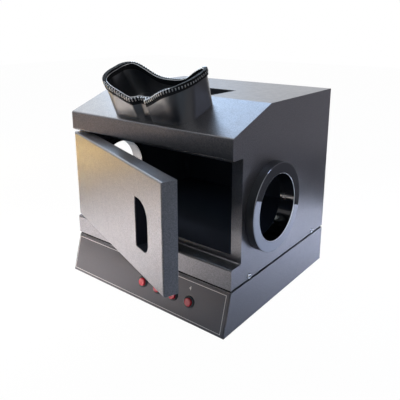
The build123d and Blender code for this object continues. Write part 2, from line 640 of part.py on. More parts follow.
TUBE_Z = REFLECTOR_TOP - TUBE_BELOW_REFLECTOR
TUBE_NAMES = ("short_wave_tube", "white_light_tube", "long_wave_tube")
TUBE_PLACES = [REFLECTOR_MIDDLE + TUBE_PITCH * (i - 1) for i in range(len(TUBE_NAMES))]
for tube_name, tube_y in zip(TUBE_NAMES, TUBE_PLACES):
    with BuildPart() as tube:
        with BuildSketch(Plane.YZ.offset(-TUBE_GLASS_LENGTH / 2)):
            with Locations((tube_y, TUBE_Z)):
                Circle(TUBE_RADIUS)
        extrude(amount=TUBE_GLASS_LENGTH)
    write(tube, tube_name)

CAP_END = TUBE_GLASS_LENGTH / 2 + TUBE_CAP_LENGTH
with BuildPart() as lamp_caps:
    for side in (-1, 1):
        with BuildSketch(Plane.YZ.offset(side * TUBE_GLASS_LENGTH / 2)):
            with Locations([(y, TUBE_Z) for y in TUBE_PLACES]):
                Circle(TUBE_CAP_RADIUS)
        extrude(amount=side * TUBE_CAP_LENGTH)
write(lamp_caps, "lamp_caps")

with BuildPart() as lamp_holders:
    for side in (-1, 1):
        with BuildSketch(Plane.YZ.offset(side * CAP_END)):
            with Locations([(y, REFLECTOR_TOP - REFLECTOR_SHEET) for y in TUBE_PLACES]):
                Rectangle(HOLDER_WIDTH, TUBE_BELOW_REFLECTOR + TUBE_RADIUS, align=(Align.CENTER, Align.MAX))
        extrude(amount=side * HOLDER_THICKNESS)
    fillet(lamp_holders.edges().filter_by(Axis.X).group_by(Axis.Z)[0], radius=HOLDER_ROUNDING)
write(lamp_holders, "lamp_holders")

END_PLATE_X = CAP_END + HOLDER_THICKNESS
with BuildPart() as lamp_end_plates:
    for side in (-1, 1):
        with BuildSketch(Plane.YZ.offset(side * END_PLATE_X)):
            with BuildLine():
                Polyline(
                    (REFLECTOR_Y0 + 2 * REFLECTOR_SHEET, REFLECTOR_BOTTOM),
                    (REFLECTOR_Y0 + REFLECTOR_TAPER + BEND, REFLECTOR_TOP - REFLECTOR_SHEET),
                    (REFLECTOR_Y1 - REFLECTOR_TAPER - BEND, REFLECTOR_TOP - REFLECTOR_SHEET),
                    (REFLECTOR_Y1 - 2 * REFLECTOR_SHEET, REFLECTOR_BOTTOM), close=True)
            make_face()
        extrude(amount=side * REFLECTOR_SHEET)
write(lamp_end_plates, "lamp_end_plates")

with BuildPart() as uv_filter_glass:
    with BuildSketch(Plane.XY.offset(REFLECTOR_BOTTOM)):
        with Locations((0, REFLECTOR_MIDDLE)):
            Rectangle(2 * REFLECTOR_HALF_LENGTH, REFLECTOR_DEPTH)
    extrude(amount=-FILTER_THICKNESS)
write(uv_filter_glass, "uv_filter_glass")

with BuildPart() as filter_frame:
    with BuildSketch(Plane.XY.offset(REFLECTOR_BOTTOM)):
        with Locations((0, REFLECTOR_MIDDLE)):
            Rectangle(2 * (REFLECTOR_HALF_LENGTH + FILTER_FRAME_SHEET), REFLECTOR_DEPTH + 2 * FILTER_FRAME_SHEET)
            Rectangle(2 * REFLECTOR_HALF_LENGTH, REFLECTOR_DEPTH, mode=Mode.SUBTRACT)
    extrude(amount=-FILTER_THICKNESS)
    with BuildSketch(Plane.XY.offset(REFLECTOR_BOTTOM - FILTER_THICKNESS)):
        with Locations((0, REFLECTOR_MIDDLE)):
            Rectangle(2 * (REFLECTOR_HALF_LENGTH + FILTER_FRAME_SHEET), REFLECTOR_DEPTH + 2 * FILTER_FRAME_SHEET)
            Rectangle(2 * (REFLECTOR_HALF_LENGTH - FILTER_FRAME_WIDTH), REFLECTOR_DEPTH - 2 * FILTER_FRAME_WIDTH,
                      mode=Mode.SUBTRACT)
    extrude(amount=-FILTER_FRAME_SHEET)
write(filter_frame, "filter_frame")

# Door: a folded pan with its liner, finger cup, bushes, magnets and light seal
SLOT_MIDDLE = DOOR_LEFT + DOOR_WIDTH - SLOT_FROM_FREE_EDGE - SLOT_WIDTH / 2
SLOT_UP = SLOT_ABOVE_DOOR_BOTTOM + SLOT_HEIGHT / 2


def finger_slot(grow):
    """The door's finger slot, straight towards the hinge and rounded towards the free edge."""
    with BuildSketch() as slot:
        with Locations((SLOT_MIDDLE, SLOT_UP)):
            Rectangle(SLOT_WIDTH, SLOT_HEIGHT)
        fillet(slot.vertices().group_by(Axis.X)[-1].sort_by(Axis.Y)[0], radius=SLOT_LOWER_CORNER)
        fillet(slot.vertices().group_by(Axis.X)[-1].sort_by(Axis.Y)[-1], radius=SLOT_UPPER_CORNER)
        fillet(slot.vertices().group_by(Axis.X)[0], radius=SLOT_SHARP_CORNER)
        if grow:
            offset(amount=grow)
    return slot.sketch


with BuildPart() as door_panel:
    with BuildSketch(door_plane(DOOR_BACK)):
        with Locations((DOOR_MIDDLE, DOOR_HEIGHT / 2)):
            Rectangle(DOOR_WIDTH, DOOR_HEIGHT)
    extrude(amount=DOOR_DEPTH)
    fillet(door_panel.faces().sort_by(ACROSS_DOOR)[0].edges(), radius=BEND)
    offset(amount=-SHEET, openings=door_panel.faces().sort_by(ACROSS_DOOR)[-1])
    with BuildSketch(door_plane(DOOR_FACE)):
        add(finger_slot(0))
    extrude(amount=-2 * SHEET, mode=Mode.SUBTRACT)
    with BuildSketch(DOOR):
        Circle(BUSH_RADIUS)
    extrude(amount=DOOR_HEIGHT, mode=Mode.SUBTRACT)
write(door_panel, "door_panel")

MAGNET_X = DOOR_LEFT + DOOR_WIDTH - SHEET - MAGNET_FROM_EDGE
MAGNET_PLACES = [(MAGNET_X, DOOR_HEIGHT / 2 + side * MAGNET_SPACING / 2) for side in (-1, 1)]
with BuildPart() as door_liner:
    with BuildSketch(door_plane(DOOR_BACK - SHEET)):
        with Locations((DOOR_MIDDLE, DOOR_HEIGHT / 2)):
            Rectangle(DOOR_WIDTH - 2 * SHEET, DOOR_HEIGHT - 2 * SHEET)
        with Locations(MAGNET_PLACES):
            Circle(MAGNET_RADIUS, mode=Mode.SUBTRACT)
    extrude(amount=-SHEET)
write(door_liner, "door_liner")

with BuildPart() as door_magnets:
    with BuildSketch(door_plane(DOOR_BACK)):
        with Locations(MAGNET_PLACES):
            Circle(MAGNET_RADIUS)
    extrude(amount=MAGNET_LENGTH)
write(door_magnets, "door_magnets")

with BuildPart() as door_light_seal:
    with BuildSketch(door_plane(DOOR_BACK)):
        with Locations((DOOR_MIDDLE, DOOR_HEIGHT / 2)):
            Rectangle(DOOR_WIDTH - 2 * LIGHT_SEAL_MARGIN, DOOR_HEIGHT - 2 * LIGHT_SEAL_MARGIN)
            Rectangle(DOOR_WIDTH - 2 * LIGHT_SEAL_MARGIN - 2 * LIGHT_SEAL_WIDTH,
                      DOOR_HEIGHT - 2 * LIGHT_SEAL_MARGIN - 2 * LIGHT_SEAL_WIDTH, mode=Mode.SUBTRACT)
    extrude(amount=-LIGHT_SEAL_THICKNESS)
write(door_light_seal, "door_light_seal")

with BuildPart() as handle_cup:
    with BuildSketch(door_plane(DOOR_FACE + SHEET)):
        add(finger_slot(CUP_FLANGE))
    extrude(amount=-CUP_WALL)
    with BuildSketch(door_plane(DOOR_FACE + SHEET)):
        add(finger_slot(CUP_WALL))
    extrude(amount=-CUP_DEPTH - CUP_WALL)
    fillet(handle_cup.faces().sort_by(ACROSS_DOOR)[-1].edges(), radius=CUP_ROUNDING)
    with BuildSketch(door_plane(DOOR_FACE + SHEET)):
        add(finger_slot(0))
    extrude(amount=-CUP_DEPTH, mode=Mode.SUBTRACT)
write(handle_cup, "handle_cup")

# Hinge: two fixed pins that run in bushes in the door's top and bottom
for place, mouth, bush_name in ((DOOR, 0, "hinge_bush_bottom"),
                                (DOOR.offset(DOOR_HEIGHT - BUSH_LENGTH), 1, "hinge_bush_top")):
    with BuildPart() as bush:
        with BuildSketch(place):
            Circle(BUSH_RADIUS)
            Circle(PIN_RADIUS + PIN_CLEARANCE, mode=Mode.SUBTRACT)
        extrude(amount=BUSH_LENGTH)
        chamfer(bush.faces().sort_by(Axis.Z)[-mouth].edges().sort_by(SortBy.RADIUS)[0], length=BUSH_BEVEL)
    write(bush, bush_name)

with BuildPart() as hinge_pin_bottom:
    with BuildSketch(Plane(origin=(PIVOT_X, PIVOT_Y, SILL_TOP - SHEET))):
        Circle(PIN_HEAD_RADIUS)
    extrude(amount=-PIN_HEAD_HEIGHT)
    with BuildSketch(Plane(origin=(PIVOT_X, PIVOT_Y, SILL_TOP - SHEET))):
        Circle(PIN_RADIUS)
    extrude(amount=SHEET + DOOR_GAP_BELOW + PIN_ENGAGEMENT)
    chamfer(hinge_pin_bottom.faces().sort_by(Axis.Z)[-1].edges(), length=PIN_BEVEL)
write(hinge_pin_bottom, "hinge_pin_bottom")

with BuildPart() as hinge_pin_top:
    with BuildSketch(Plane(origin=(PIVOT_X, PIVOT_Y, HEADER_BOTTOM + SHEET))):
        Circle(PIN_HEAD_RADIUS)
    extrude(amount=PIN_HEAD_HEIGHT)
    with BuildSketch(Plane(origin=(PIVOT_X, PIVOT_Y, HEADER_BOTTOM + SHEET))):
        Circle(PIN_RADIUS)
    extrude(amount=-(SHEET + DOOR_GAP_ABOVE + PIN_ENGAGEMENT))
    chamfer(hinge_pin_top.faces().sort_by(Axis.Z)[0].edges(), length=PIN_BEVEL)
write(hinge_pin_top, "hinge_pin_top")

with BuildPart() as hinge_washer:
    with BuildSketch(Plane(origin=(PIVOT_X, PIVOT_Y, SILL_TOP))):
        Circle(WASHER_RADIUS)
        Circle(PIN_RADIUS, mode=Mode.SUBTRACT)
    extrude(amount=WASHER_THICKNESS)
write(hinge_washer, "hinge_washer")

# Base: a folded case with a leaning front, its panel, bottom plate and feet
BUTTON_PLACES = [(BUTTON_FIRST_X + BUTTON_PITCH * i, -BUTTON_DOWN_PANEL) for i in range(BUTTON_COUNT)]
PANEL_SETBACK = PANEL_THICKNESS / cos(LEAN)
INLET_X = HALF - INLET_FROM_SIDE
FUSE_X = INLET_X - FUSE_FROM_INLET
INLET_Z = FOOT_HEIGHT + BASE_HEIGHT / 2
REAR_PLANE = Plane(origin=(0, REAR, INLET_Z), x_dir=(-1, 0, 0), z_dir=(0, 1, 0))
with BuildPart() as base_case:
    with BuildSketch(Plane.YZ.offset(-HALF)):
        with BuildLine():
            Polyline(
                (FRONT + PANEL_SETBACK, BASE_TOP), (FRONT - BASE_TOE + PANEL_SETBACK, FOOT_HEIGHT),
                (REAR, FOOT_HEIGHT), (REAR, BASE_TOP), close=True)
        make_face()
    extrude(amount=WIDTH)
    offset(amount=-SHEET, openings=base_case.faces().sort_by(Axis.Z)[0])
    with BuildSketch(PANEL):
        with Locations(BUTTON_PLACES):
            Circle(BARREL_RADIUS)
    extrude(amount=-PANEL_THICKNESS - 2 * SHEET, mode=Mode.SUBTRACT)
    with BuildSketch(REAR_PLANE):
        with Locations((-INLET_X, 0)):
            Rectangle(INLET_WIDTH, INLET_HEIGHT)
        with Locations((-FUSE_X, 0)):
            Circle(FUSE_RADIUS)
    extrude(amount=-2 * SHEET, mode=Mode.SUBTRACT)
    with BuildSketch(Plane.XY.offset(BASE_TOP)):
        with Locations(BODY_SCREW_PLACES):
            Circle(SCREW_RADIUS)
    extrude(amount=-SHEET, mode=Mode.SUBTRACT)
write(base_case, "base_case")

with BuildPart() as base_seal:
    with BuildSketch(Plane.XY.offset(BASE_TOP)):
        Rectangle(WIDTH - 2 * SEAL_INSET, DEPTH - 2 * SEAL_INSET)
        Rectangle(WIDTH - 2 * SEAL_INSET - 2 * SEAL_WIDTH, DEPTH - 2 * SEAL_INSET - 2 * SEAL_WIDTH,
                  mode=Mode.SUBTRACT)
    extrude(amount=SEAL_HEIGHT)
write(base_seal, "base_seal")

body_screws = pan_head_screws([Plane(origin=(x, y, BASE_TOP - SHEET), x_dir=(1, 0, 0), z_dir=(0, 0, -1))
                               for x, y in BODY_SCREW_PLACES], SCREW_LENGTH)
write(body_screws, "body_screws")

with BuildPart() as control_panel:
    with BuildSketch(PANEL):
        with Locations((0, -PANEL_LENGTH / 2)):
            RectangleRounded(WIDTH - 2 * PANEL_MARGIN, PANEL_LENGTH - 2 * PANEL_MARGIN, PANEL_CORNER)
        with Locations(BUTTON_PLACES):
            Circle(BARREL_RADIUS, mode=Mode.SUBTRACT)
    extrude(amount=-PANEL_THICKNESS)
write(control_panel, "control_panel")

with BuildPart() as base_plate:
    with BuildSketch(Plane.YZ.offset(-HALF + SHEET)):
        with BuildLine():
            rise = SHEET * BASE_TOE / BASE_HEIGHT
            front_edge = FRONT - BASE_TOE + PANEL_SETBACK + SHEET / cos(LEAN)
            Polyline((front_edge, FOOT_HEIGHT), (front_edge + rise, FOOT_HEIGHT + SHEET),
                     (REAR - SHEET, FOOT_HEIGHT + SHEET), (REAR - SHEET, FOOT_HEIGHT), close=True)
        make_face()
    extrude(amount=INSIDE_WIDTH)
write(base_plate, "base_plate")

with BuildPart() as rubber_feet:
    for side in (-1, 1):
        for end in (-1, 1):
            with BuildSketch(Plane(origin=(side * (HALF - FOOT_INSET), end * (REAR - FOOT_INSET), FOOT_HEIGHT),
                                   z_dir=(0, 0, -1))):
                Circle(FOOT_RADIUS)
            extrude(amount=FOOT_HEIGHT, taper=FOOT_TAPER)
write(rubber_feet, "rubber_feet")

# Buttons: each a sprung cap in a threaded bezel, with its nut and switch behind the panel
UP_BUTTON = Axis(origin=PANEL.origin, direction=PANEL.z_dir)
with BuildPart() as button_bezels:
    with BuildSketch(PANEL):
        with Locations(BUTTON_PLACES):
            Circle(BEZEL_RADIUS)
    extrude(amount=BEZEL_PROUD)
    fillet(button_bezels.edges().group_by(UP_BUTTON)[-1], radius=BEZEL_ROUNDING)
    with BuildSketch(PANEL):
        with Locations(BUTTON_PLACES):
            Circle(BARREL_RADIUS)
    extrude(amount=-BARREL_DEPTH)
    with BuildSketch(PANEL.offset(BEZEL_PROUD)):
        with Locations(BUTTON_PLACES):
            Circle(BUTTON_CAP_RADIUS + BUTTON_CLEARANCE)
    extrude(amount=-BEZEL_PROUD - BARREL_DEPTH, mode=Mode.SUBTRACT)
write(button_bezels, "button_bezels")

for number, place in enumerate(BUTTON_PLACES, start=1):
    with BuildPart() as button_cap:
        with BuildSketch(PANEL.offset(-BUTTON_CAP_DEPTH)):
            with Locations(place):
                Circle(BUTTON_CAP_RADIUS)
        extrude(amount=BUTTON_CAP_DEPTH + BUTTON_CAP_PROUD)
        fillet(button_cap.edges().group_by(UP_BUTTON)[-1], radius=BUTTON_CAP_ROUNDING)
        with BuildSketch(PANEL.offset(-BUTTON_CAP_DEPTH)):
            with Locations(place):
                Circle(STEM_RADIUS)
        extrude(amount=-STEM_DEPTH)
    write(button_cap, f"button_cap_{number}")

with BuildPart() as switch_bodies:
    with BuildSketch(PANEL.offset(-BARREL_DEPTH)):
        with Locations(BUTTON_PLACES):
            RectangleRounded(SWITCH_SIZE, SWITCH_SIZE, SWITCH_CORNER)
    extrude(amount=-SWITCH_DEPTH)
    with BuildSketch(PANEL.offset(-BARREL_DEPTH)):
        with Locations(BUTTON_PLACES):
            Circle(STEM_RADIUS + BUTTON_CLEARANCE)
    extrude(amount=-SWITCH_DEPTH + SWITCH_WALL_BEHIND_STEM, mode=Mode.SUBTRACT)
write(switch_bodies, "switch_bodies")

with BuildPart() as switch_nuts:
    with BuildSketch(PANEL.offset(-PANEL_THICKNESS - SHEET)):
        with Locations(BUTTON_PLACES):
            RegularPolygon(SWITCH_NUT_RADIUS, 6, major_radius=False)
            Circle(BARREL_RADIUS, mode=Mode.SUBTRACT)
    extrude(amount=-SWITCH_NUT_THICKNESS)
write(switch_nuts, "switch_nuts")

# Mains inlet and fuse holder in the rear of the base
with BuildPart() as power_inlet:
    with BuildSketch(REAR_PLANE):
        with Locations((-INLET_X, 0)):
            RectangleRounded(INLET_WIDTH + 2 * INLET_EAR, INLET_HEIGHT + 2 * INLET_LIP, INLET_CORNER)
    extrude(amount=INLET_WALL)
    with BuildSketch(REAR_PLANE):
        with Locations((-INLET_X, 0)):
            Rectangle(INLET_WIDTH, INLET_HEIGHT)
    extrude(amount=-INLET_DEPTH)
    with BuildSketch(REAR_PLANE.offset(INLET_WALL)):
        with Locations((-INLET_X, 0)):
            Rectangle(INLET_WIDTH - 2 * INLET_WALL, INLET_HEIGHT - 2 * INLET_WALL)
    extrude(amount=-INLET_DEPTH, mode=Mode.SUBTRACT)
    upper_corners = power_inlet.edges().filter_by(Axis.Y).filter_by(
        lambda e: abs(abs(e.center().X - INLET_X) - (INLET_WIDTH / 2 - INLET_WALL)) < 0.01
        and e.center().Z > INLET_Z)
    chamfer(upper_corners, length=INLET_BEVEL)
write(power_inlet, "power_inlet")

with BuildPart() as inlet_pins:
    with BuildSketch(REAR_PLANE.offset(-INLET_DEPTH + INLET_WALL)):
        with Locations((-INLET_X, INLET_PIN_RISE), (-INLET_X - INLET_PIN_SPACING, -INLET_PIN_RISE),
                       (-INLET_X + INLET_PIN_SPACING, -INLET_PIN_RISE)):
            Rectangle(INLET_PIN_WIDTH, INLET_PIN_HEIGHT)
    extrude(amount=INLET_PIN_LENGTH)
write(inlet_pins, "inlet_pins")

EAR_MIDDLE = INLET_WIDTH / 2 + INLET_EAR / 2
inlet_screws = pan_head_screws([Plane(REAR_PLANE.offset(INLET_WALL).location
                                      * Location((-INLET_X + side * EAR_MIDDLE, 0, 0)))
                                for side in (-1, 1)], 0)
write(inlet_screws, "inlet_screws")

with BuildPart() as fuse_holder:
    with BuildSketch(REAR_PLANE):
        with Locations((-FUSE_X, 0)):
            Circle(FUSE_FLANGE_RADIUS)
    extrude(amount=FUSE_FLANGE_HEIGHT)
    with BuildSketch(REAR_PLANE):
        with Locations((-FUSE_X, 0)):
            Circle(FUSE_RADIUS)
    extrude(amount=-FUSE_DEPTH)
    with BuildSketch(REAR_PLANE.offset(FUSE_FLANGE_HEIGHT)):
        with Locations((-FUSE_X, 0)):
            Circle(FUSE_RADIUS)
    extrude(amount=FUSE_KNOB_HEIGHT)
    with BuildSketch(REAR_PLANE.offset(FUSE_FLANGE_HEIGHT + FUSE_KNOB_HEIGHT)):
        with Locations((-FUSE_X, 0)):
            Rectangle(FUSE_SLOT_WIDTH, FUSE_SLOT_LENGTH)
    extrude(amount=-FUSE_SLOT_WIDTH, mode=Mode.SUBTRACT)
write(fuse_holder, "fuse_holder")

# Ballasts and terminal block on the base plate
for ballast_name, ballast_y in (("ballast_short_wave", -BALLAST_SPACING / 2), ("ballast_long_wave", BALLAST_SPACING / 2)):
    with BuildPart() as ballast:
        with BuildSketch(Plane.XY.offset(FOOT_HEIGHT + SHEET)):
            with Locations((BALLAST_X, ballast_y)):
                Rectangle(BALLAST_LENGTH, BALLAST_WIDTH)
        extrude(amount=BALLAST_HEIGHT)
        fillet(ballast.edges().filter_by(Axis.X).group_by(Axis.Z)[-1], radius=BALLAST_ROUNDING)
        with BuildSketch(Plane.XY.offset(FOOT_HEIGHT + SHEET)):
            with Locations((BALLAST_X, ballast_y)):
                SlotOverall(BALLAST_LENGTH + 2 * BALLAST_TAB, BALLAST_TAB)
        extrude(amount=SHEET)
    write(ballast, ballast_name)

with BuildPart() as terminal_block:
    with BuildSketch(Plane.XY.offset(FOOT_HEIGHT + SHEET)):
        with Locations((INLET_X, TERMINAL_Y)):
            Rectangle(TERMINAL_COUNT * TERMINAL_PITCH, TERMINAL_WIDTH)
    extrude(amount=TERMINAL_HEIGHT)
    with BuildSketch(Plane.XY.offset(FOOT_HEIGHT + SHEET + TERMINAL_HEIGHT)):
        with Locations((INLET_X, TERMINAL_Y)):
            with GridLocations(TERMINAL_PITCH, TERMINAL_WIDTH / 2, TERMINAL_COUNT, 2):
                Circle(TERMINAL_HOLE_RADIUS)
    extrude(amount=-TERMINAL_HEIGHT / 2, mode=Mode.SUBTRACT)
write(terminal_block, "terminal_block")
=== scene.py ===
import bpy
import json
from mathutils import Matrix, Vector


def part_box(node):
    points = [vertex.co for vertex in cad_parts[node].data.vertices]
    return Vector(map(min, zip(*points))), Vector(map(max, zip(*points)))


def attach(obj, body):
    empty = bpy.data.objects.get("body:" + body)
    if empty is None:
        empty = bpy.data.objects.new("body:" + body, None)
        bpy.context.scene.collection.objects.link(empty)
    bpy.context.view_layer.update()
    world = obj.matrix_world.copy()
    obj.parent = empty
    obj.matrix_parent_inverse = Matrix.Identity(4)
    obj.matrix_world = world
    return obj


bl_info = {
    "name": "UV viewing cabinet",
    "version": (1, 0, 0),
    "blender": (4, 5, 0),
    "location": "3D View > Sidebar > Cabinet",
    "description": "Finishes, printed marks and studio for a bench-top ultraviolet viewing cabinet",
    "category": "Object",
}

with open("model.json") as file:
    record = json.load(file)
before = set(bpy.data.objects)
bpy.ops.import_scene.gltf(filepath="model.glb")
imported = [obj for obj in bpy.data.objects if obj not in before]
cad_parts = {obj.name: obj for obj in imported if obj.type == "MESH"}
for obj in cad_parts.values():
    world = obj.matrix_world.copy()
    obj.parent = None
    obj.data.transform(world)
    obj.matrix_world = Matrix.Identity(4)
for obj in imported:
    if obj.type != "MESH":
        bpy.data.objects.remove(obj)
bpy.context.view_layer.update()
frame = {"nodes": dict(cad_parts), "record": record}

import json
from math import cos, pi, radians, sin

import bmesh
import bpy
from mathutils import Matrix, Vector
from mathutils.bvhtree import BVHTree

NODES = frame["nodes"]
MM = 0.001

# Where the top cover's slope and the control panel's front face look
SLOPE_FACING = (0, -0.35, 0.94)
PANEL_FACING = (0, -0.96, 0.28)
SAME_WAY = 0.985    # cosine of the widest angle between a face and the way it is said to look

# Depths at which one finish gives way to another
HALF_SHEET = 0.75 * MM
FRAME_RECESS = 21.7 * MM    # from the front of the doorway's ledge to the frame behind the door
# width of the collar's inner bevel, drawn bright aluminium as a painted highlight
HIGHLIGHT_BEVEL = 0.75 * MM
EDGE = 0.1 * MM

MOST = (0.3, 0.7)    # the part of 0 to 1 that most of a noise's values lie in


def linear(code):
    """An sRGB hex colour as linear red, green and blue."""
    channels = [int(code[i:i + 2], 16) / 255 for i in (1, 3, 5)]
    return tuple(c / 12.92 if c <= 0.04045 else ((c + 0.055) / 1.055) ** 2.4 for c in channels)


def swatch(name, description, code):
    """A colour that a user can change, with its default as a hex value."""
    return bpy.props.FloatVectorProperty(name=name, description=description, subtype="COLOR",
                                         size=3, min=0, max=1, default=linear(code))


def length(name, description, millimetres):
    """A size that a user can change, with its default in millimetres."""
    return bpy.props.FloatProperty(name=name, description=description, unit="LENGTH", precision=5,
                                   min=0, default=millimetres * MM)


class CabinetColours(bpy.types.PropertyGroup):
    """Colours of the paints, mouldings, metals and glasses."""
    powder_coat: swatch("Powder coat", "Metallic film on the folded sheet steel", "#7B7B80")
    flake: swatch("Flake", "Brighter flakes in the powder coat", "#939397")
    inner_black: swatch("Inner black", "Matt paint inside the chamber", "#2E3440")
    panel: swatch("Panel paint", "Satin paint of the control panel", "#68686C")
    print_ink: swatch("Print", "Screen print on the control panel", "#F0EFEE")
    gloss_black: swatch("Gloss black", "Formed moulding of the hood", "#15181E")
    collar: swatch("Collar lacquer", "Dark lacquer on the hand ports' turned collars", "#74777E")
    # the ribs' pale grey is a painted highlight on black rubber ribs
    rib: swatch("Trim ribs", "Ribs of the hood's edge trim", "#ADADAD")
    satin_black: swatch("Satin black", "Small mouldings", "#1D2027")
    rubber: swatch("Rubber", "Feet, seal and edge trim", "#101114")
    felt: swatch("Felt", "Light seal of the door", "#1B1B1E")
    button_red: swatch("Button red", "Moulded push buttons", "#D8233A")
    cream: swatch("Cream", "Moulded lamp holders and terminal block", "#DDD6C0")
    ballast: swatch("Ballast grey", "Lacquer on the ballast cases", "#6F7276")
    zinc: swatch("Zinc", "Bright zinc plate on screws, pins and trays", "#DADDE2")
    # aluminium also gives the painted highlights on the collar bevel and the trim's lip bead, and
    # at a third of it the painted shade in the collar bores
    aluminium: swatch("Aluminium", "Reflector, lamp caps and bare collar bores", "#D3D5D8")
    brass: swatch("Brass", "Turned bushes, washer and inlet pins", "#C9A361")
    nickel: swatch("Nickel", "Plated magnets", "#B9B6B0")
    clear_glass: swatch("Clear glass", "Viewing window and photo port glass", "#E9F0EC")
    quartz: swatch("Quartz", "Clear ultraviolet lamp tube", "#EEF2F6")
    filter_violet: swatch("Filter violet", "Ultraviolet filter glass", "#3B1C66")
    phosphor: swatch("Phosphor", "Coating of the white lamp tube", "#ECEAE4")


class CabinetSizes(bpy.types.PropertyGroup):
    """Sizes of the grain, the printed marks and the ribs."""
    grain: length("Grain", "Width of a bump in the powder coat", 1.5)
    border_inset: length("Border inset", "From the panel's edge to its printed line", 2.8)
    border_width: length("Border width", "Width of the printed line", 0.75)
    film: length("Print film", "Thickness of the printed ink", 0.04)
    numeral: length("Numeral size", "Type size of the numbers over the buttons", 7.6)
    numeral_drop: length("Numeral drop", "From the panel's top edge to the numbers' middle", 12.7)
    rib_pitch: length("Rib pitch", "Spacing of the ribs round the hood's edge trim", 4.2)
    rib_width: length("Rib width", "Width of one rib", 1.9)


def colours():
    return bpy.context.scene.cabinet_colours


def sizes():
    return bpy.context.scene.cabinet_sizes


def flat_face(node, facing):
    """The middle and normal of a node's flat faces that look nearly one way."""
    facing = Vector(facing).normalized()
    middle, normal, area = Vector(), Vector(), 0.0
    for polygon in NODES[node].data.polygons:
        if polygon.normal.dot(facing) > SAME_WAY:
            middle += polygon.center * polygon.area
            normal += polygon.normal * polygon.area
            area += polygon.area
    if not area:
        raise ValueError(f"{node} has no face that way")
    return middle / area, normal.normalized()


def shade(colour, factor=1.0):
    """An opaque colour, made darker or lighter."""
    return (*(c * factor for c in colour), 1.0)


def begin(name):
    """A new empty material, its tree and the object coordinates that its patterns follow."""
    material = bpy.data.materials.new(name)
    material.use_nodes = True
    tree = material.node_tree
    tree.nodes.clear()
    return material, tree, add(tree, "ShaderNodeTexCoord").outputs["Object"]


def add(tree, kind, inputs=None, **settings):
    """One node with its settings. Each input is a value, or another node's output to link."""
    node = tree.nodes.new(kind)
    for name, value in settings.items():
        setattr(node, name, value)
    for name, value in (inputs or {}).items():
        if isinstance(value, bpy.types.NodeSocket):
            tree.links.new(value, node.inputs[name])
        else:
            node.inputs[name].default_value = value
    return node


def noise(tree, place, width, detail=2.0, roughness=0.5):
    """Cloudy noise from 0 to 1, with features of this width."""
    return add(tree, "ShaderNodeTexNoise", {"Vector": place, "Scale": 1 / width, "Detail": detail,
                                            "Roughness": roughness}).outputs["Fac"]


def cells(tree, place, width):
    """A pattern of cells of this width."""
    return add(tree, "ShaderNodeTexVoronoi", {"Vector": place, "Scale": 1 / width})


def stretched(tree, place, scale):
    """The same places, drawn out along an axis whose scale is under 1."""
    return add(tree, "ShaderNodeMapping", {"Vector": place, "Scale": scale}).outputs[0]


def number(tree, operation, first, second):
    """One step of arithmetic on numbers."""
    return add(tree, "ShaderNodeMath", {0: first, 1: second}, operation=operation).outputs[0]


def vector(tree, operation, first, second=(0, 0, 0)):
    """One step of arithmetic on places or directions."""
    node = add(tree, "ShaderNodeVectorMath", {0: first, 1: second}, operation=operation)
    return node.outputs["Value" if operation in ("LENGTH", "DOT_PRODUCT") else "Vector"]


def spread(tree, value, low, high, within=(0.0, 1.0)):
    """A pattern's values between two ends, spread out to reach from low to high."""
    return add(tree, "ShaderNodeMapRange", {"Value": value, "From Min": within[0],
                                            "From Max": within[1], "To Min": low,
                                            "To Max": high}).outputs[0]


def fade(tree, share, first, second):
    """A number that goes from the first to the second with the share."""
    return add(tree, "ShaderNodeMix", {0: share, 2: first, 3: second}).outputs[0]


def blend(tree, share, first, second):
    """A colour that goes from the first to the second with the share."""
    return add(tree, "ShaderNodeMix", {0: share, 6: first, 7: second},
               data_type="RGBA").outputs[2]


def mottle(tree, share, colour, first, second):
    """One colour that goes from one shade to another with the share."""
    return blend(tree, share, shade(colour, first), shade(colour, second))


def relief(tree, height, strength, depth):
    """Normals that a pattern of this depth gives."""
    return add(tree, "ShaderNodeBump", {"Height": height, "Strength": strength,
                                        "Distance": depth}).outputs[0]


def surface(tree, inputs):
    """A principled surface on the material's output."""
    shader = add(tree, "ShaderNodeBsdfPrincipled", inputs)
    add(tree, "ShaderNodeOutputMaterial", {"Surface": shader.outputs["BSDF"]})


def dress(slot, material):
    """Gives a material to every node that the record puts in one finish slot."""
    named = [part["node"] for part in frame["record"]["subparts"] if part["material_slot"] == slot]
    if not named:
        raise ValueError(f"no node has the finish {slot}")
    for name in named:
        NODES[name].data.materials.clear()
        NODES[name].data.materials.append(material)


def inside_cabinet(tree, place):
    """1 on the faces that line the chamber, and 0 outside. The line lies in the middle of the
    sheet."""
    low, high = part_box("side_panel_right")
    frame_front = max(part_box("door_frame")[0].y + FRAME_RECESS, low.y)
    reach = Vector((high.x - HALF_SHEET, (high.y - frame_front) / 2 - HALF_SHEET,
                    (high.z - low.z) / 2 - HALF_SHEET))
    centre = Vector((0, (high.y + frame_front) / 2, (high.z + low.z) / 2))
    apart = vector(tree, "ABSOLUTE", vector(tree, "SUBTRACT", place, centre))
    axes = add(tree, "ShaderNodeSeparateXYZ", {0: vector(tree, "SUBTRACT", apart, reach)})
    outside = number(tree, "MAXIMUM", axes.outputs[0], axes.outputs[1])
    outside = number(tree, "MAXIMUM", outside, axes.outputs[2])
    middle, normal = flat_face("top_cover", SLOPE_FACING)
    above = number(tree, "SUBTRACT", vector(tree, "DOT_PRODUCT", place, normal),
                   middle.dot(normal) - HALF_SHEET)
    return number(tree, "LESS_THAN", number(tree, "MAXIMUM", outside, above), 0.0)


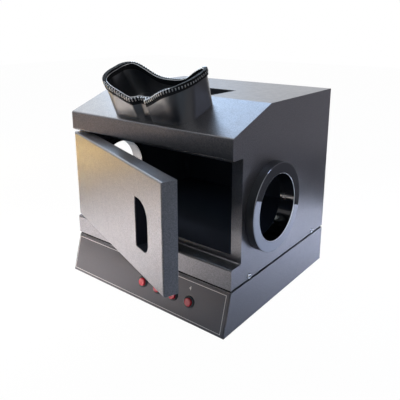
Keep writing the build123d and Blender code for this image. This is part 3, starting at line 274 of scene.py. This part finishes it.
def metallic_powder_coat():
    """Metallic powder coat on sheet steel, sprayed and baked. Flake in a dark grey film mirrors the
    room softly, and its orange peel breaks every highlight into grain. The grain is drawn a little
    coarser than real, so that it shows. The same sheets are painted matt inside the chamber."""
    material, tree, place = begin("metallic_powder_coat")
    ink = colours()
    grain = noise(tree, place, sizes().grain, roughness=0.6)
    cloud = noise(tree, place, 9 * MM)
    inner = inside_cabinet(tree, place)
    flakes = spread(tree, grain, 0.0, 1.0, within=(0.35, 0.68))
    coat = blend(tree, flakes, shade(ink.powder_coat), shade(ink.flake))
    gloss = spread(tree, cloud, 0.30, 0.37, within=MOST)
    surface(tree, {"Base Color": blend(tree, inner, coat, shade(ink.inner_black)),
                   "Metallic": spread(tree, inner, 0.96, 0.0),
                   "Roughness": fade(tree, inner, gloss, 0.62),
                   "Normal": relief(tree, grain, 0.25, 0.12 * MM)})
    return material


def satin_panel_paint():
    """Satin stove enamel on the control panel, brushed under the paint and a shade smoother than
    the body. The fine cross grain shows as faint streaks."""
    material, tree, place = begin("satin_stove_enamel")
    streak = noise(tree, stretched(tree, place, (0.12, 1, 1)), 0.9 * MM, detail=3.0)
    grain = noise(tree, place, 1.6 * MM)
    surface(tree, {"Base Color": mottle(tree, grain, colours().panel, 0.88, 1.0),
                   "Metallic": 0.85, "Roughness": spread(tree, streak, 0.30, 0.38, within=MOST),
                   "Normal": relief(tree, grain, 0.25, 0.08 * MM)})
    return material


def matt_black_paint():
    """Matt black paint, sprayed thin inside the chamber to swallow stray light. Dry overspray gives
    it a dusty grain."""
    material, tree, place = begin("matt_black_paint")
    dust = noise(tree, place, 1.2 * MM, detail=4.0, roughness=0.7)
    surface(tree, {"Base Color": mottle(tree, dust, colours().inner_black, 1.0, 1.7),
                   "Roughness": spread(tree, dust, 0.5, 0.75), "Specular IOR Level": 0.25,
                   "Normal": relief(tree, dust, 0.4, 0.1 * MM)})
    return material


def stove_lacquer():
    """Grey stoving lacquer, dipped on the ballasts' steel cases. It runs a little, so its gloss
    wanders."""
    material, tree, place = begin("grey_stoving_lacquer")
    runs = noise(tree, place, 7 * MM, detail=3.0)
    surface(tree, {"Base Color": mottle(tree, runs, colours().ballast, 0.8, 1.0), "Metallic": 0.2,
                   "Roughness": spread(tree, runs, 0.3, 0.5)})
    return material


def formed_abs():
    """ABS sheet, vacuum formed over a plug for the hood. The forming leaves it glossy but a little
    soft, with a faint waviness and a few handling smears."""
    material, tree, place = begin("vacuum_formed_black_abs")
    wave = noise(tree, place, 16 * MM, detail=1.0)
    smear = noise(tree, place, 5 * MM, detail=4.0, roughness=0.65)
    surface(tree, {"Base Color": mottle(tree, smear, colours().gloss_black, 1.0, 1.6),
                   "Roughness": spread(tree, smear, 0.30, 0.36, within=(0.35, 0.7)), "IOR": 1.9,
                   "Coat Weight": 1.0, "Coat Roughness": 0.24, "Coat IOR": 1.6,
                   "Normal": relief(tree, wave, 0.15, 0.2 * MM)})
    return material


def lacquered_collar():
    """Aluminium, turned for the hand ports' collars. Dark lacquer on the flat face mirrors sharply
    with faint wipe marks, and it is dull on the rim. The bore is polished aluminium darkened to a
    third, painted shade that dims its glints. Its bevel is rough aluminium at full brightness, a
    painted highlight."""
    material, tree, place = begin("lacquered_turned_aluminium")
    ink = colours()
    low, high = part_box("port_ring_right")
    centre = (low + high) / 2
    bore = min(Vector((0, v.co.y - centre.y, v.co.z - centre.z)).length
               for v in NODES["port_ring_right"].data.vertices)
    rim = high.y - centre.y
    across = vector(tree, "MULTIPLY", vector(tree, "SUBTRACT", place, centre), (0, 1, 1))
    across = vector(tree, "LENGTH", across)
    bevel_highlight = number(tree, "GREATER_THAN", across, bore + EDGE)
    face = number(tree, "GREATER_THAN", across, bore + HIGHLIGHT_BEVEL)
    outer = number(tree, "GREATER_THAN", across, rim - EDGE)
    wipe = noise(tree, place, 14 * MM, detail=3.0)
    # the bore at 0.35 of the aluminium is painted shade, and the bevel at full brightness is a
    # painted highlight
    colour = mottle(tree, bevel_highlight, ink.aluminium, 0.35, 1.0)
    colour = blend(tree, face, colour, shade(ink.collar))
    colour = blend(tree, outer, colour, shade(ink.satin_black, 0.4))
    rough = fade(tree, bevel_highlight, 0.12, 0.45)
    rough = fade(tree, face, rough, spread(tree, wipe, 0.03, 0.07, within=MOST))
    surface(tree, {"Base Color": colour, "Metallic": spread(tree, outer, 1.0, 0.0),
                   "Roughness": fade(tree, outer, rough, 0.5)})
    return material


def etched_abs():
    """ABS moulded in an etched tool. The etch gives small mouldings a fine satin grain."""
    material, tree, place = begin("etched_black_abs")
    etch = cells(tree, place, 0.7 * MM).outputs["Distance"]
    surface(tree, {"Base Color": mottle(tree, etch, colours().satin_black, 1.0, 1.5),
                   "Roughness": spread(tree, etch, 0.36, 0.5), "IOR": 1.54,
                   "Normal": relief(tree, etch, 0.3, 0.06 * MM)})
    return material


def red_polycarbonate():
    """Red polycarbonate, moulded and left glossy. Light goes a little way in, so the red glows at
    the rounded edge."""
    material, tree, place = begin("red_polycarbonate")
    flow = noise(tree, place, 3 * MM)
    surface(tree, {"Base Color": mottle(tree, flow, colours().button_red, 0.8, 1.0),
                   "Roughness": spread(tree, flow, 0.14, 0.28), "IOR": 1.58,
                   "Coat Weight": 0.6, "Coat Roughness": 0.08,
                   "Subsurface Weight": 0.15, "Subsurface Scale": 1.0 * MM})
    return material


def cream_urea():
    """Urea resin, pressed cream mouldings with a dull, slightly chalky skin."""
    material, tree, place = begin("cream_urea_resin")
    chalk = noise(tree, place, 1.5 * MM, detail=4.0)
    surface(tree, {"Base Color": mottle(tree, chalk, colours().cream, 0.85, 1.0),
                   "Roughness": spread(tree, chalk, 0.4, 0.6)})
    return material


def moulded_rubber():
    """Nitrile rubber, moulded and extruded. A soft bloom dulls it in patches."""
    material, tree, place = begin("black_nitrile_rubber")
    bloom = noise(tree, place, 4 * MM, detail=4.0)
    fine = noise(tree, place, 0.8 * MM)
    surface(tree, {"Base Color": mottle(tree, bloom, colours().rubber, 1.0, 1.8),
                   "Roughness": spread(tree, bloom, 0.55, 0.75, within=MOST), "IOR": 1.52,
                   "Specular IOR Level": 0.15, "Normal": relief(tree, fine, 0.25, 0.08 * MM)})
    return material


def glossy_vinyl():
    """Pale grey ribs of the edge trim: their light colour is a painted highlight on the black
    rubber ribs. They have a glossy skin, and the painted highlight is uneven along them."""
    material, tree, place = begin("rib_highlight_finish")
    uneven_highlight = noise(tree, place, 5 * MM, detail=3.0)
    # pale grey of the ribs is a painted highlight, uneven along the trim
    surface(tree, {"Base Color": mottle(tree, uneven_highlight, colours().rib, 0.7, 1.0), "Roughness": 0.35,
                   "IOR": 2.2, "Coat Weight": 1.0, "Coat Roughness": 0.15, "Coat IOR": 1.8})
    return material


def metallised_bead():
    """Bright aluminium-grey bead along the edge trim's lip, a painted highlight that stands in for
    light on the rounded rubber lip. It is dimmer and duller in places."""
    material, tree, place = begin("lip_bead_highlight")
    patchy_highlight = noise(tree, place, 8 * MM, detail=3.0)
    # the bead's brightness is a painted highlight, patchy along the lip
    surface(tree, {"Base Color": mottle(tree, patchy_highlight, colours().aluminium, 0.75, 1.0),
                   "Metallic": 0.85, "Roughness": spread(tree, patchy_highlight, 0.2, 0.45)})
    return material


def pressed_felt():
    """Wool felt, pressed and cut in strips. Loose fibres make it the dullest black on the door."""
    material, tree, place = begin("pressed_black_felt")
    fibre = noise(tree, stretched(tree, place, (1, 1, 0.35)), 0.6 * MM, detail=6.0, roughness=0.75)
    surface(tree, {"Base Color": mottle(tree, fibre, colours().felt, 1.0, 2.2), "Roughness": 0.95,
                   "Sheen Weight": 0.2, "Normal": relief(tree, fibre, 0.8, 0.3 * MM)})
    return material


def bright_zinc():
    """Zinc plate, barrel plated and passivated bright. Crystals and tumbling marks mottle its
    shine."""
    material, tree, place = begin("bright_zinc_plate")
    crystal = cells(tree, place, 2.5 * MM)
    surface(tree, {"Base Color": mottle(tree, crystal.outputs["Color"], colours().zinc, 0.82, 1.0),
                   "Metallic": 1.0,
                   "Roughness": spread(tree, crystal.outputs["Distance"], 0.1, 0.2)})
    return material


def rolled_aluminium():
    """Aluminium sheet, bright rolled. Roll lines along the sheet stretch its reflections."""
    material, tree, place = begin("bright_rolled_aluminium")
    lines = noise(tree, stretched(tree, place, (0.03, 1, 1)), 0.8 * MM, detail=4.0)
    surface(tree, {"Base Color": mottle(tree, lines, colours().aluminium, 0.88, 1.0),
                   "Metallic": 1.0, "Roughness": spread(tree, lines, 0.12, 0.3)})
    return material


def turned_brass():
    """Brass, turned on a lathe and left bare. Tool rings and a first tarnish vary its gold."""
    material, tree, place = begin("turned_brass")
    rings = add(tree, "ShaderNodeTexWave", {"Vector": place, "Scale": 1 / (6 * MM),
                                            "Distortion": 1.5},
                wave_type="BANDS", bands_direction="Z")
    tarnish = noise(tree, place, 3 * MM, detail=3.0)
    surface(tree, {"Base Color": mottle(tree, tarnish, colours().brass, 1.0, 0.7), "Metallic": 1.0,
                   "Roughness": spread(tree, rings.outputs["Fac"], 0.2, 0.36)})
    return material


def nickel_plate():
    """Nickel plate on the magnets, slightly warm and nearly mirror bright."""
    material, tree, place = begin("nickel_plate")
    haze = noise(tree, place, 2 * MM, detail=3.0)
    surface(tree, {"Base Color": mottle(tree, haze, colours().nickel, 0.86, 1.0), "Metallic": 1.0,
                   "Roughness": spread(tree, haze, 0.1, 0.24)})
    return material


def float_glass(name, tint, clearness):
    """Float glass, cut and ground at its edges. Its tint shows in thick places, and dust makes its
    roughness uneven."""
    material, tree, place = begin(name)
    dust = noise(tree, place, 6 * MM, detail=5.0)
    surface(tree, {"Base Color": mottle(tree, dust, tint, 0.92, 1.0),
                   "Roughness": spread(tree, dust, 0.02, 0.12, within=(0.4, 0.8)), "IOR": 1.52,
                   "Transmission Weight": clearness})
    return material


def phosphor_glass():
    """Lamp tube of soda glass, coated inside with phosphor powder. It is a soft, even white under a
    glossy skin."""
    material, tree, place = begin("phosphor_coated_glass")
    powder = noise(tree, place, 2 * MM, detail=4.0)
    surface(tree, {"Base Color": mottle(tree, powder, colours().phosphor, 0.92, 1.0),
                   "Roughness": 0.5, "Coat Weight": 1.0, "Coat Roughness": 0.05})
    return material


def screen_ink():
    """Silver screen ink, printed through a mesh. Its flake shines, and the mesh leaves tiny thin
    spots."""
    material, tree, place = begin("silver_screen_ink")
    mesh = noise(tree, place, 0.5 * MM)
    surface(tree, {"Base Color": mottle(tree, mesh, colours().print_ink, 0.75, 1.0),
                   "Metallic": 0.75, "Roughness": 0.45})
    return material


class CABINET_OT_metalwork(bpy.types.Operator):
    """Paint the folded sheet steel, the control panel, the chamber and the ballasts"""
    bl_idname = "cabinet.metalwork"
    bl_label = "Paint metalwork"

    def execute(self, context):
        dress("grey_powder_coat", metallic_powder_coat())
        dress("panel_paint", satin_panel_paint())
        dress("inner_black_paint", matt_black_paint())
        dress("ballast_grey", stove_lacquer())
        return {"FINISHED"}


class CABINET_OT_mouldings(bpy.types.Operator):
    """Finish the hood, the hand ports' collars, the buttons and the small mouldings"""
    bl_idname = "cabinet.mouldings"
    bl_label = "Finish mouldings and collars"

    def execute(self, context):
        dress("black_gloss_moulding", formed_abs())
        dress("polished_collar", lacquered_collar())
        dress("black_moulding", etched_abs())
        dress("red_button", red_polycarbonate())
        dress("cream_moulding", cream_urea())
        return {"FINISHED"}


class CABINET_OT_soft_parts(bpy.types.Operator):
    """Finish the feet, seal, edge trim and door felt"""
    bl_idname = "cabinet.soft_parts"
    bl_label = "Finish rubber and felt"

    def execute(self, context):
        dress("black_rubber", moulded_rubber())
        dress("felt", pressed_felt())
        return {"FINISHED"}


class CABINET_OT_hardware(bpy.types.Operator):
    """Finish the screws, pins, bushes, magnets, trays and reflector"""
    bl_idname = "cabinet.hardware"
    bl_label = "Finish bare metal"

    def execute(self, context):
        dress("zinc_plate", bright_zinc())
        dress("bright_aluminium", rolled_aluminium())
        dress("brass", turned_brass())
        dress("nickel", nickel_plate())
        return {"FINISHED"}


class CABINET_OT_glass(bpy.types.Operator):
    """Finish the windows, the filter and the lamp tubes"""
    bl_idname = "cabinet.glass"
    bl_label = "Finish glass and lamps"

    def execute(self, context):
        ink = colours()
        blue_black = [c * 0.4 for c in ink.filter_violet]
        dress("clear_glass", float_glass("clear_float_glass", ink.clear_glass, 0.95))
        dress("filter_glass", float_glass("violet_filter_glass", ink.filter_violet, 0.6))
        dress("clear_tube", float_glass("clear_quartz_tube", ink.quartz, 0.9))
        dress("dark_tube", float_glass("blue_black_tube", blue_black, 0.3))
        dress("white_tube", phosphor_glass())
        return {"FINISHED"}


def make_object(name, data, material, matrix=Matrix.Identity(4)):
    """A new piece that is fixed to the cabinet's body."""
    piece = bpy.data.objects.new(name, data)
    bpy.context.scene.collection.objects.link(piece)
    data.materials.append(material)
    piece.matrix_world = matrix
    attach(piece, "root")


def make_mesh(name, build):
    """A mesh filled by a function that works on a bmesh."""
    work = bmesh.new()
    build(work)
    bmesh.ops.recalc_face_normals(work, faces=work.faces)
    mesh = bpy.data.meshes.new(name)
    work.to_mesh(mesh)
    work.free()
    return mesh


def bridge(work, first, second):
    """Faces between two closed rings with as many points."""
    for a, b, c, d in zip(first, first[1:] + first[:1], second[1:] + second[:1], second):
        work.faces.new((a, b, c, d))


# One rib along its length: its share of the way down the trim, then millimetres up and out from
# the wall there
RIB_COURSE = ((0.02, 1.3, -2.0), (0.02, 1.2, -0.6), (0.02, 0.5, 0.4), (0.2, 0.0, 0.55),
              (0.38, 0.0, 0.5), (0.46, 0.0, -0.2))
RIB_ROOT = 0.4 * MM
# Across a rib: where its shoulders and its crown end, as shares of half its width
RIB_SHOULDER, RIB_CROWN = 0.7, 0.3
RIB_CROWN_RISE = 0.1 * MM
# the lip bead is a bright rod that stands in as a painted highlight on the trim's rounded lip
LIP_RADIUS = 0.6 * MM
LIP_SIDES = 8
LIP_TURNS_APART = 4

# The trim is met by rays all round, at levels that fall in small steps from over its highest point
TURNS_ROUND = 720
LEVEL_STEP = 0.25 * MM
HEADROOM = 5 * MM
RAY_LENGTH = 0.2
WALL_LEAN = 0.5    # a wall's normal has less than this share of the slope's normal, a cap's more


class TrimShape:
    """The edge trim as rays meet it, from outside or from the hood's middle. A turn goes round the
    hood, and a level is a height off the sloping top."""

    def __init__(self):
        self.tree = BVHTree.FromObject(NODES["hood_edge_trim"],
                                       bpy.context.evaluated_depsgraph_get())
        foot, self.up = flat_face("top_cover", SLOPE_FACING)
        self.back = Vector((1, 0, 0)).cross(self.up) * -1
        low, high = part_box("viewing_hood")
        self.centre = Vector((0, (low.y + high.y) / 2, 0))
        self.centre.z = foot.z + (self.centre.y - foot.y) * self.back.z / self.back.y
        self.ceiling = (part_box("hood_edge_trim")[1] - self.centre).dot(self.up) + HEADROOM
        self.turns = [2 * pi * i / TURNS_ROUND for i in range(TURNS_ROUND)]

    def hit(self, turn, level, inner=False):
        """A point on the trim's outer or inner wall and the normal there, or nothing where the ray
        misses or meets the cap on top."""
        away = Vector((cos(turn), 0, 0)) + self.back * sin(turn)
        start = self.centre + self.up * level
        if inner:
            point, normal, *_ = self.tree.ray_cast(start, away, RAY_LENGTH)
        else:
            point, normal, *_ = self.tree.ray_cast(start + away * RAY_LENGTH, -away, RAY_LENGTH)
        return (point, normal) if point and abs(normal.dot(self.up)) < WALL_LEAN else None

    def top(self, turn, inner=False):
        """The highest level of a wall."""
        level = self.ceiling
        while not self.hit(turn, level, inner):
            level -= LEVEL_STEP
            if level < 0:
                raise ValueError("no trim was met")
        return level

    def bottom(self, turn):
        """The lowest level of the outer wall."""
        level = self.top(turn)
        while self.hit(turn, level - LEVEL_STEP):
            level -= LEVEL_STEP
        return level

    def even_turns(self):
        """Turns that space the ribs evenly along the trim's outer wall."""
        turns = self.turns + [2 * pi]
        line = [self.hit(turn, (self.top(turn) + self.bottom(turn)) / 2)[0] for turn in turns]
        along = [0.0]
        for a, b in zip(line, line[1:]):
            along.append(along[-1] + (b - a).length)
        count = round(along[-1] / sizes().rib_pitch)
        at = 0
        for rib in range(count):
            distance = along[-1] * rib / count
            while along[at + 1] < distance:
                at += 1
            share = (distance - along[at]) / (along[at + 1] - along[at])
            yield turns[at] + (turns[at + 1] - turns[at]) * share

    def build_ribs(self, work):
        """Ribs at even steps round the trim, each over its top edge and down its outer wall."""
        for turn in self.even_turns():
            top, bottom = self.top(turn), self.bottom(turn)
            rings = []
            for share_down, rise, out in RIB_COURSE:
                point, normal = self.hit(turn, top + (bottom - top) * share_down)
                side = self.up.cross(normal).normalized() * sizes().rib_width / 2
                point = point + self.up * (rise * MM)
                root = point - normal * RIB_ROOT
                face = point + normal * (out * MM)
                crown = face + normal * RIB_CROWN_RISE
                rings.append([work.verts.new(p) for p in (
                    root - side, face - side * RIB_SHOULDER, crown - side * RIB_CROWN,
                    crown + side * RIB_CROWN, face + side * RIB_SHOULDER, root + side)])
            for a, b in zip(rings, rings[1:]):
                bridge(work, a, b)
            work.faces.new(reversed(rings[0]))
            work.faces.new(rings[-1])

    def build_lip(self, work):
        """A round bead along the trim's top edge, on the inner side, which carries the lip's
        painted highlight.
        """
        spots = []
        for turn in self.turns[::LIP_TURNS_APART]:
            point, normal = self.hit(turn, self.top(turn, inner=True), inner=True)
            spots.append(point - normal * LIP_RADIUS * 0.5)
        corners = [2 * pi * k / LIP_SIDES for k in range(LIP_SIDES)]
        rings = []
        for i, spot in enumerate(spots):
            ahead = (spots[(i + 1) % len(spots)] - spots[i - 1]).normalized()
            side = ahead.cross(self.up).normalized()
            rise = side.cross(ahead)
            rings.append([work.verts.new(spot + (side * cos(k) + rise * sin(k)) * LIP_RADIUS)
                          for k in corners])
        for a, b in zip(rings, rings[1:] + rings[:1]):
            bridge(work, a, b)


class CABINET_OT_trim_ribs(bpy.types.Operator):
    """Make the ribs and the bright bead of the edge trim, which is pushed over the hood's rim. The
    ribs' pale grey and the bright bead are painted highlights.
    """
    bl_idname = "cabinet.trim_ribs"
    bl_label = "Make trim ribs and bead"

    def execute(self, context):
        trim = TrimShape()
        make_object("trim_ribs", make_mesh("trim_ribs", trim.build_ribs), glossy_vinyl())
        make_object("trim_lip_highlight", make_mesh("trim_lip_highlight", trim.build_lip), metallised_bead())
        return {"FINISHED"}


def panel_frame():
    """The control panel's front face: its middle, the ways to its right, up and out, and half its
    width and height."""
    middle, normal = flat_face("control_panel", PANEL_FACING)
    right = Vector((1, 0, 0))
    up = normal.cross(right)
    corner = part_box("control_panel")[1]
    half_height = (up * ((corner.z - middle.z) / up.z)).length
    return middle, right, up, normal, corner.x, half_height


def build_border(work):
    """A flat frame of ink just over the panel's face, mitred at its corners."""
    middle, right, up, normal, half_width, half_height = panel_frame()
    outer, film = sizes().border_inset, sizes().film
    inner = outer + sizes().border_width
    rings = []
    for edge, lift in ((outer, -film), (inner, -film), (inner, film), (outer, film)):
        x, y = right * (half_width - edge), up * (half_height - edge)
        rings.append([work.verts.new(middle + corner + normal * lift)
                      for corner in (-x - y, x - y, x + y, y - x)])
    for a, b in zip(rings, rings[1:] + rings[:1]):
        bridge(work, a, b)


class CABINET_OT_panel_border(bpy.types.Operator):
    """Print the light line round the control panel"""
    bl_idname = "cabinet.panel_border"
    bl_label = "Print panel border"

    def execute(self, context):
        make_object("panel_border_line", make_mesh("panel_border_line", build_border),
                    screen_ink())
        return {"FINISHED"}


class CABINET_OT_numerals(bpy.types.Operator):
    """Print a number over each push button"""
    bl_idname = "cabinet.numerals"
    bl_label = "Print button numbers"

    def execute(self, context):
        ink = screen_ink()
        middle, right, up, normal, _, half_height = panel_frame()
        turn = Matrix((right, up, normal)).transposed().to_4x4()
        line = middle + up * (half_height - sizes().numeral_drop)
        for button in range(1, 5):
            low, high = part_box(f"button_cap_{button}")
            text = bpy.data.curves.new(f"button_number_{button}", "FONT")
            text.body = str(button)
            text.size = sizes().numeral
            text.extrude = sizes().film
            text.align_x = "CENTER"
            text.align_y = "CENTER"
            place = Matrix.Translation(line + right * ((low.x + high.x) / 2))
            make_object(text.name, text, ink, place @ turn)
        return {"FINISHED"}


# Square lamps: name, place, aim, width, spread in degrees, watts and colour, in metres
LAMPS = (
    ("near_pool", (-0.38, -0.70, 1.00), (-0.26, -0.27, 0.0), 0.25, 36, 1.2, "#F6F0F0"),
    ("gold_pool", (-1.05, -0.25, 1.00), (-1.00, -0.12, 0.0), 0.3, 50, 2.7, "#FFD070"),
    ("front_left_pool", (-1.20, -1.20, 1.00), (-1.12, -0.95, 0.0), 0.3, 50, 1.0, "#FFB070"),
    ("front_pool", (-0.45, -0.90, 1.00), (-0.40, -0.48, 0.0), 0.3, 50, 1.4, "#FFDDB8"),
    ("right_pool", (0.45, 0.20, 0.90), (0.31, 0.12, 0.0), 0.25, 50, 0.5, "#D0DEFF"),
    ("right_rear_pool", (0.50, 0.50, 0.90), (0.28, 0.38, 0.0), 0.25, 50, 1.1, "#E8ECFF"),
    ("window_right", (-1.05, 0.95, 1.35), (0.0, -0.08, 0.28), 0.9, 180, 7.0, "#A8D4FF"),
    ("window_left", (-1.26, 0.53, 1.10), (-0.1, -0.1, 0.27), 0.7, 180, 2.2, "#F8FFFF"),
    ("front_softbox", (-0.2, -1.6, 1.2), (0.0, -0.1, 0.15), 1.0, 180, 5.0, "#C0E0FF"),
)

# Upright grey cards that only reflections see: name, middle, width, height, turn about the
# vertical in degrees and grey
CARDS = (
    ("grey_card_right", (0.55, 0.24, 0.74), 1.0, 1.24, -25.6, "#8C8A90"),
    ("dark_card_low", (0.55, 0.24, 0.06), 1.0, 0.12, -25.6, "#626268"),
    ("grey_card_front", (-0.30, -0.85, 0.60), 1.3, 1.2, 0.0, "#6A6868"),
)

FLOOR_WIDTH = 8
FLOOR_WHITENESS = 0.985    # how far the camera sees the floor as plain white
FILL_LIGHT = 0.12    # the surround's strength as fill light, where the camera and mirrors see 1


def floor_paper():
    """Matt white paper sweep. The camera sees it nearly as bright as the white background, so only
    a faint shadow stays under the object."""
    material, tree, place = begin("white_paper_sweep")
    fibre = noise(tree, place, 3 * MM)
    colour = blend(tree, fibre, shade(linear("#F0F0F0")), shade(linear("#F5F5F5")))
    paper = add(tree, "ShaderNodeBsdfDiffuse", {"Color": colour})
    white = add(tree, "ShaderNodeEmission", {"Strength": 1.0})
    ray = add(tree, "ShaderNodeLightPath")
    share = number(tree, "MULTIPLY", ray.outputs["Is Camera Ray"], FLOOR_WHITENESS)
    both = add(tree, "ShaderNodeMixShader", {0: share, 1: paper.outputs[0], 2: white.outputs[0]})
    add(tree, "ShaderNodeOutputMaterial", {"Surface": both.outputs[0]})
    return material


def card_paint(code):
    """Grey card, the studio kind that darkens a reflection. It is lit on its own, so it glows
    evenly."""
    material, tree, place = begin("grey_card")
    nap = noise(tree, place, 20 * MM)
    glow = add(tree, "ShaderNodeEmission", {"Color": mottle(tree, nap, linear(code), 0.95, 1.0),
                                            "Strength": 1.0})
    add(tree, "ShaderNodeOutputMaterial", {"Surface": glow.outputs[0]})
    return material


def white_world():
    """A plain white surround, dimmer as fill light than it looks."""
    world = bpy.data.worlds.new("white_surround")
    world.use_nodes = True
    tree = world.node_tree
    tree.nodes.clear()
    ray = add(tree, "ShaderNodeLightPath")
    seen = number(tree, "MAXIMUM", ray.outputs["Is Camera Ray"], ray.outputs["Is Glossy Ray"])
    seen = number(tree, "MAXIMUM", seen, ray.outputs["Is Transmission Ray"])
    light = add(tree, "ShaderNodeBackground", {"Color": (1, 1, 1, 1),
                                               "Strength": spread(tree, seen, FILL_LIGHT, 1.0)})
    add(tree, "ShaderNodeOutputWorld", {"Surface": light.outputs[0]})
    bpy.context.scene.world = world


def stage_sheet(name, middle, width, height, spin, material):
    """A flat sheet of the stage, which isn't part of the object."""
    def build(work):
        bmesh.ops.create_grid(work, x_segments=1, y_segments=1, size=0.5)
    sheet = bpy.data.objects.new(name, make_mesh(name, build))
    bpy.context.scene.collection.objects.link(sheet)
    sheet.data.materials.append(material)
    size = Matrix.Diagonal((width, height, 1, 1))
    sheet.matrix_world = Matrix.Translation(middle) @ spin @ size
    return sheet


class CABINET_OT_stage(bpy.types.Operator):
    """Lay the white floor and set the lamps and cards round the cabinet"""
    bl_idname = "cabinet.stage"
    bl_label = "Set stage"

    def execute(self, context):
        context.scene.view_settings.view_transform = "Standard"
        white_world()
        stage_sheet("floor", (0, 0, 0), FLOOR_WIDTH, FLOOR_WIDTH, Matrix.Identity(4),
                    floor_paper())
        upright = Matrix.Rotation(radians(90), 4, "X")
        for name, middle, width, height, turn, code in CARDS:
            spin = Matrix.Rotation(radians(turn), 4, "Z") @ upright
            card = stage_sheet(name, middle, width, height, spin, card_paint(code))
            card.visible_camera = False
            card.visible_diffuse = False
            card.visible_shadow = False
            card.visible_transmission = False
        for name, place, aim, width, angle, watts, code in LAMPS:
            lamp = bpy.data.lights.new(name, "AREA")
            lamp.size = width
            lamp.spread = radians(angle)
            lamp.energy = watts
            lamp.color = linear(code)
            holder = bpy.data.objects.new(name, lamp)
            context.scene.collection.objects.link(holder)
            holder.location = place
            way = Vector(aim) - Vector(place)
            holder.rotation_euler = way.to_track_quat("-Z", "Y").to_euler()
            holder.visible_camera = False
        return {"FINISHED"}


class CABINET_OT_camera(bpy.types.Operator):
    """Set the camera at the photograph's place, right of the front and a little over the top"""
    bl_idname = "cabinet.camera"
    bl_label = "Set camera"

    def execute(self, context):
        turn_left, look_down = 0.666, 0.258    # radians
        view = bpy.data.cameras.new("camera")
        view.lens = 43.67
        view.sensor_width = 36.0
        view.shift_x = -0.0042
        view.shift_y = -0.1226
        camera = bpy.data.objects.new("camera", view)
        context.scene.collection.objects.link(camera)
        camera.location = (0.4602, -0.5888, 0.3938)
        forward = Vector((-sin(turn_left) * cos(look_down), cos(turn_left) * cos(look_down),
                          -sin(look_down)))
        camera.rotation_euler = forward.to_track_quat("-Z", "Y").to_euler()
        context.scene.camera = camera
        return {"FINISHED"}


OPERATORS = (CABINET_OT_metalwork, CABINET_OT_mouldings, CABINET_OT_soft_parts,
             CABINET_OT_hardware, CABINET_OT_glass, CABINET_OT_trim_ribs, CABINET_OT_panel_border,
             CABINET_OT_numerals, CABINET_OT_stage, CABINET_OT_camera)


class CABINET_PT_sidebar(bpy.types.Panel):
    """Lists the cabinet's steps, colours and sizes"""
    bl_idname = "CABINET_PT_sidebar"
    bl_label = "Viewing cabinet"
    bl_space_type = "VIEW_3D"
    bl_region_type = "UI"
    bl_category = "Cabinet"

    def draw(self, context):
        for operator in OPERATORS:
            self.layout.operator(operator.bl_idname)
        for group in (context.scene.cabinet_colours, context.scene.cabinet_sizes):
            box = self.layout.box()
            for name in group.bl_rna.properties.keys():
                if name not in ("rna_type", "name"):
                    box.prop(group, name)


CLASSES = (CabinetColours, CabinetSizes, *OPERATORS, CABINET_PT_sidebar)


def register():
    for cls in CLASSES:
        bpy.utils.register_class(cls)
    bpy.types.Scene.cabinet_colours = bpy.props.PointerProperty(type=CabinetColours)
    bpy.types.Scene.cabinet_sizes = bpy.props.PointerProperty(type=CabinetSizes)


def unregister():
    del bpy.types.Scene.cabinet_sizes
    del bpy.types.Scene.cabinet_colours
    for cls in reversed(CLASSES):
        bpy.utils.unregister_class(cls)


def main():
    """Registers the classes and runs every step in order."""
    register()
    bpy.ops.cabinet.metalwork()
    bpy.ops.cabinet.mouldings()
    bpy.ops.cabinet.soft_parts()
    bpy.ops.cabinet.hardware()
    bpy.ops.cabinet.glass()
    bpy.ops.cabinet.trim_ribs()
    bpy.ops.cabinet.panel_border()
    bpy.ops.cabinet.numerals()
    bpy.ops.cabinet.stage()
    bpy.ops.cabinet.camera()


if __name__ == "__main__":
    main()
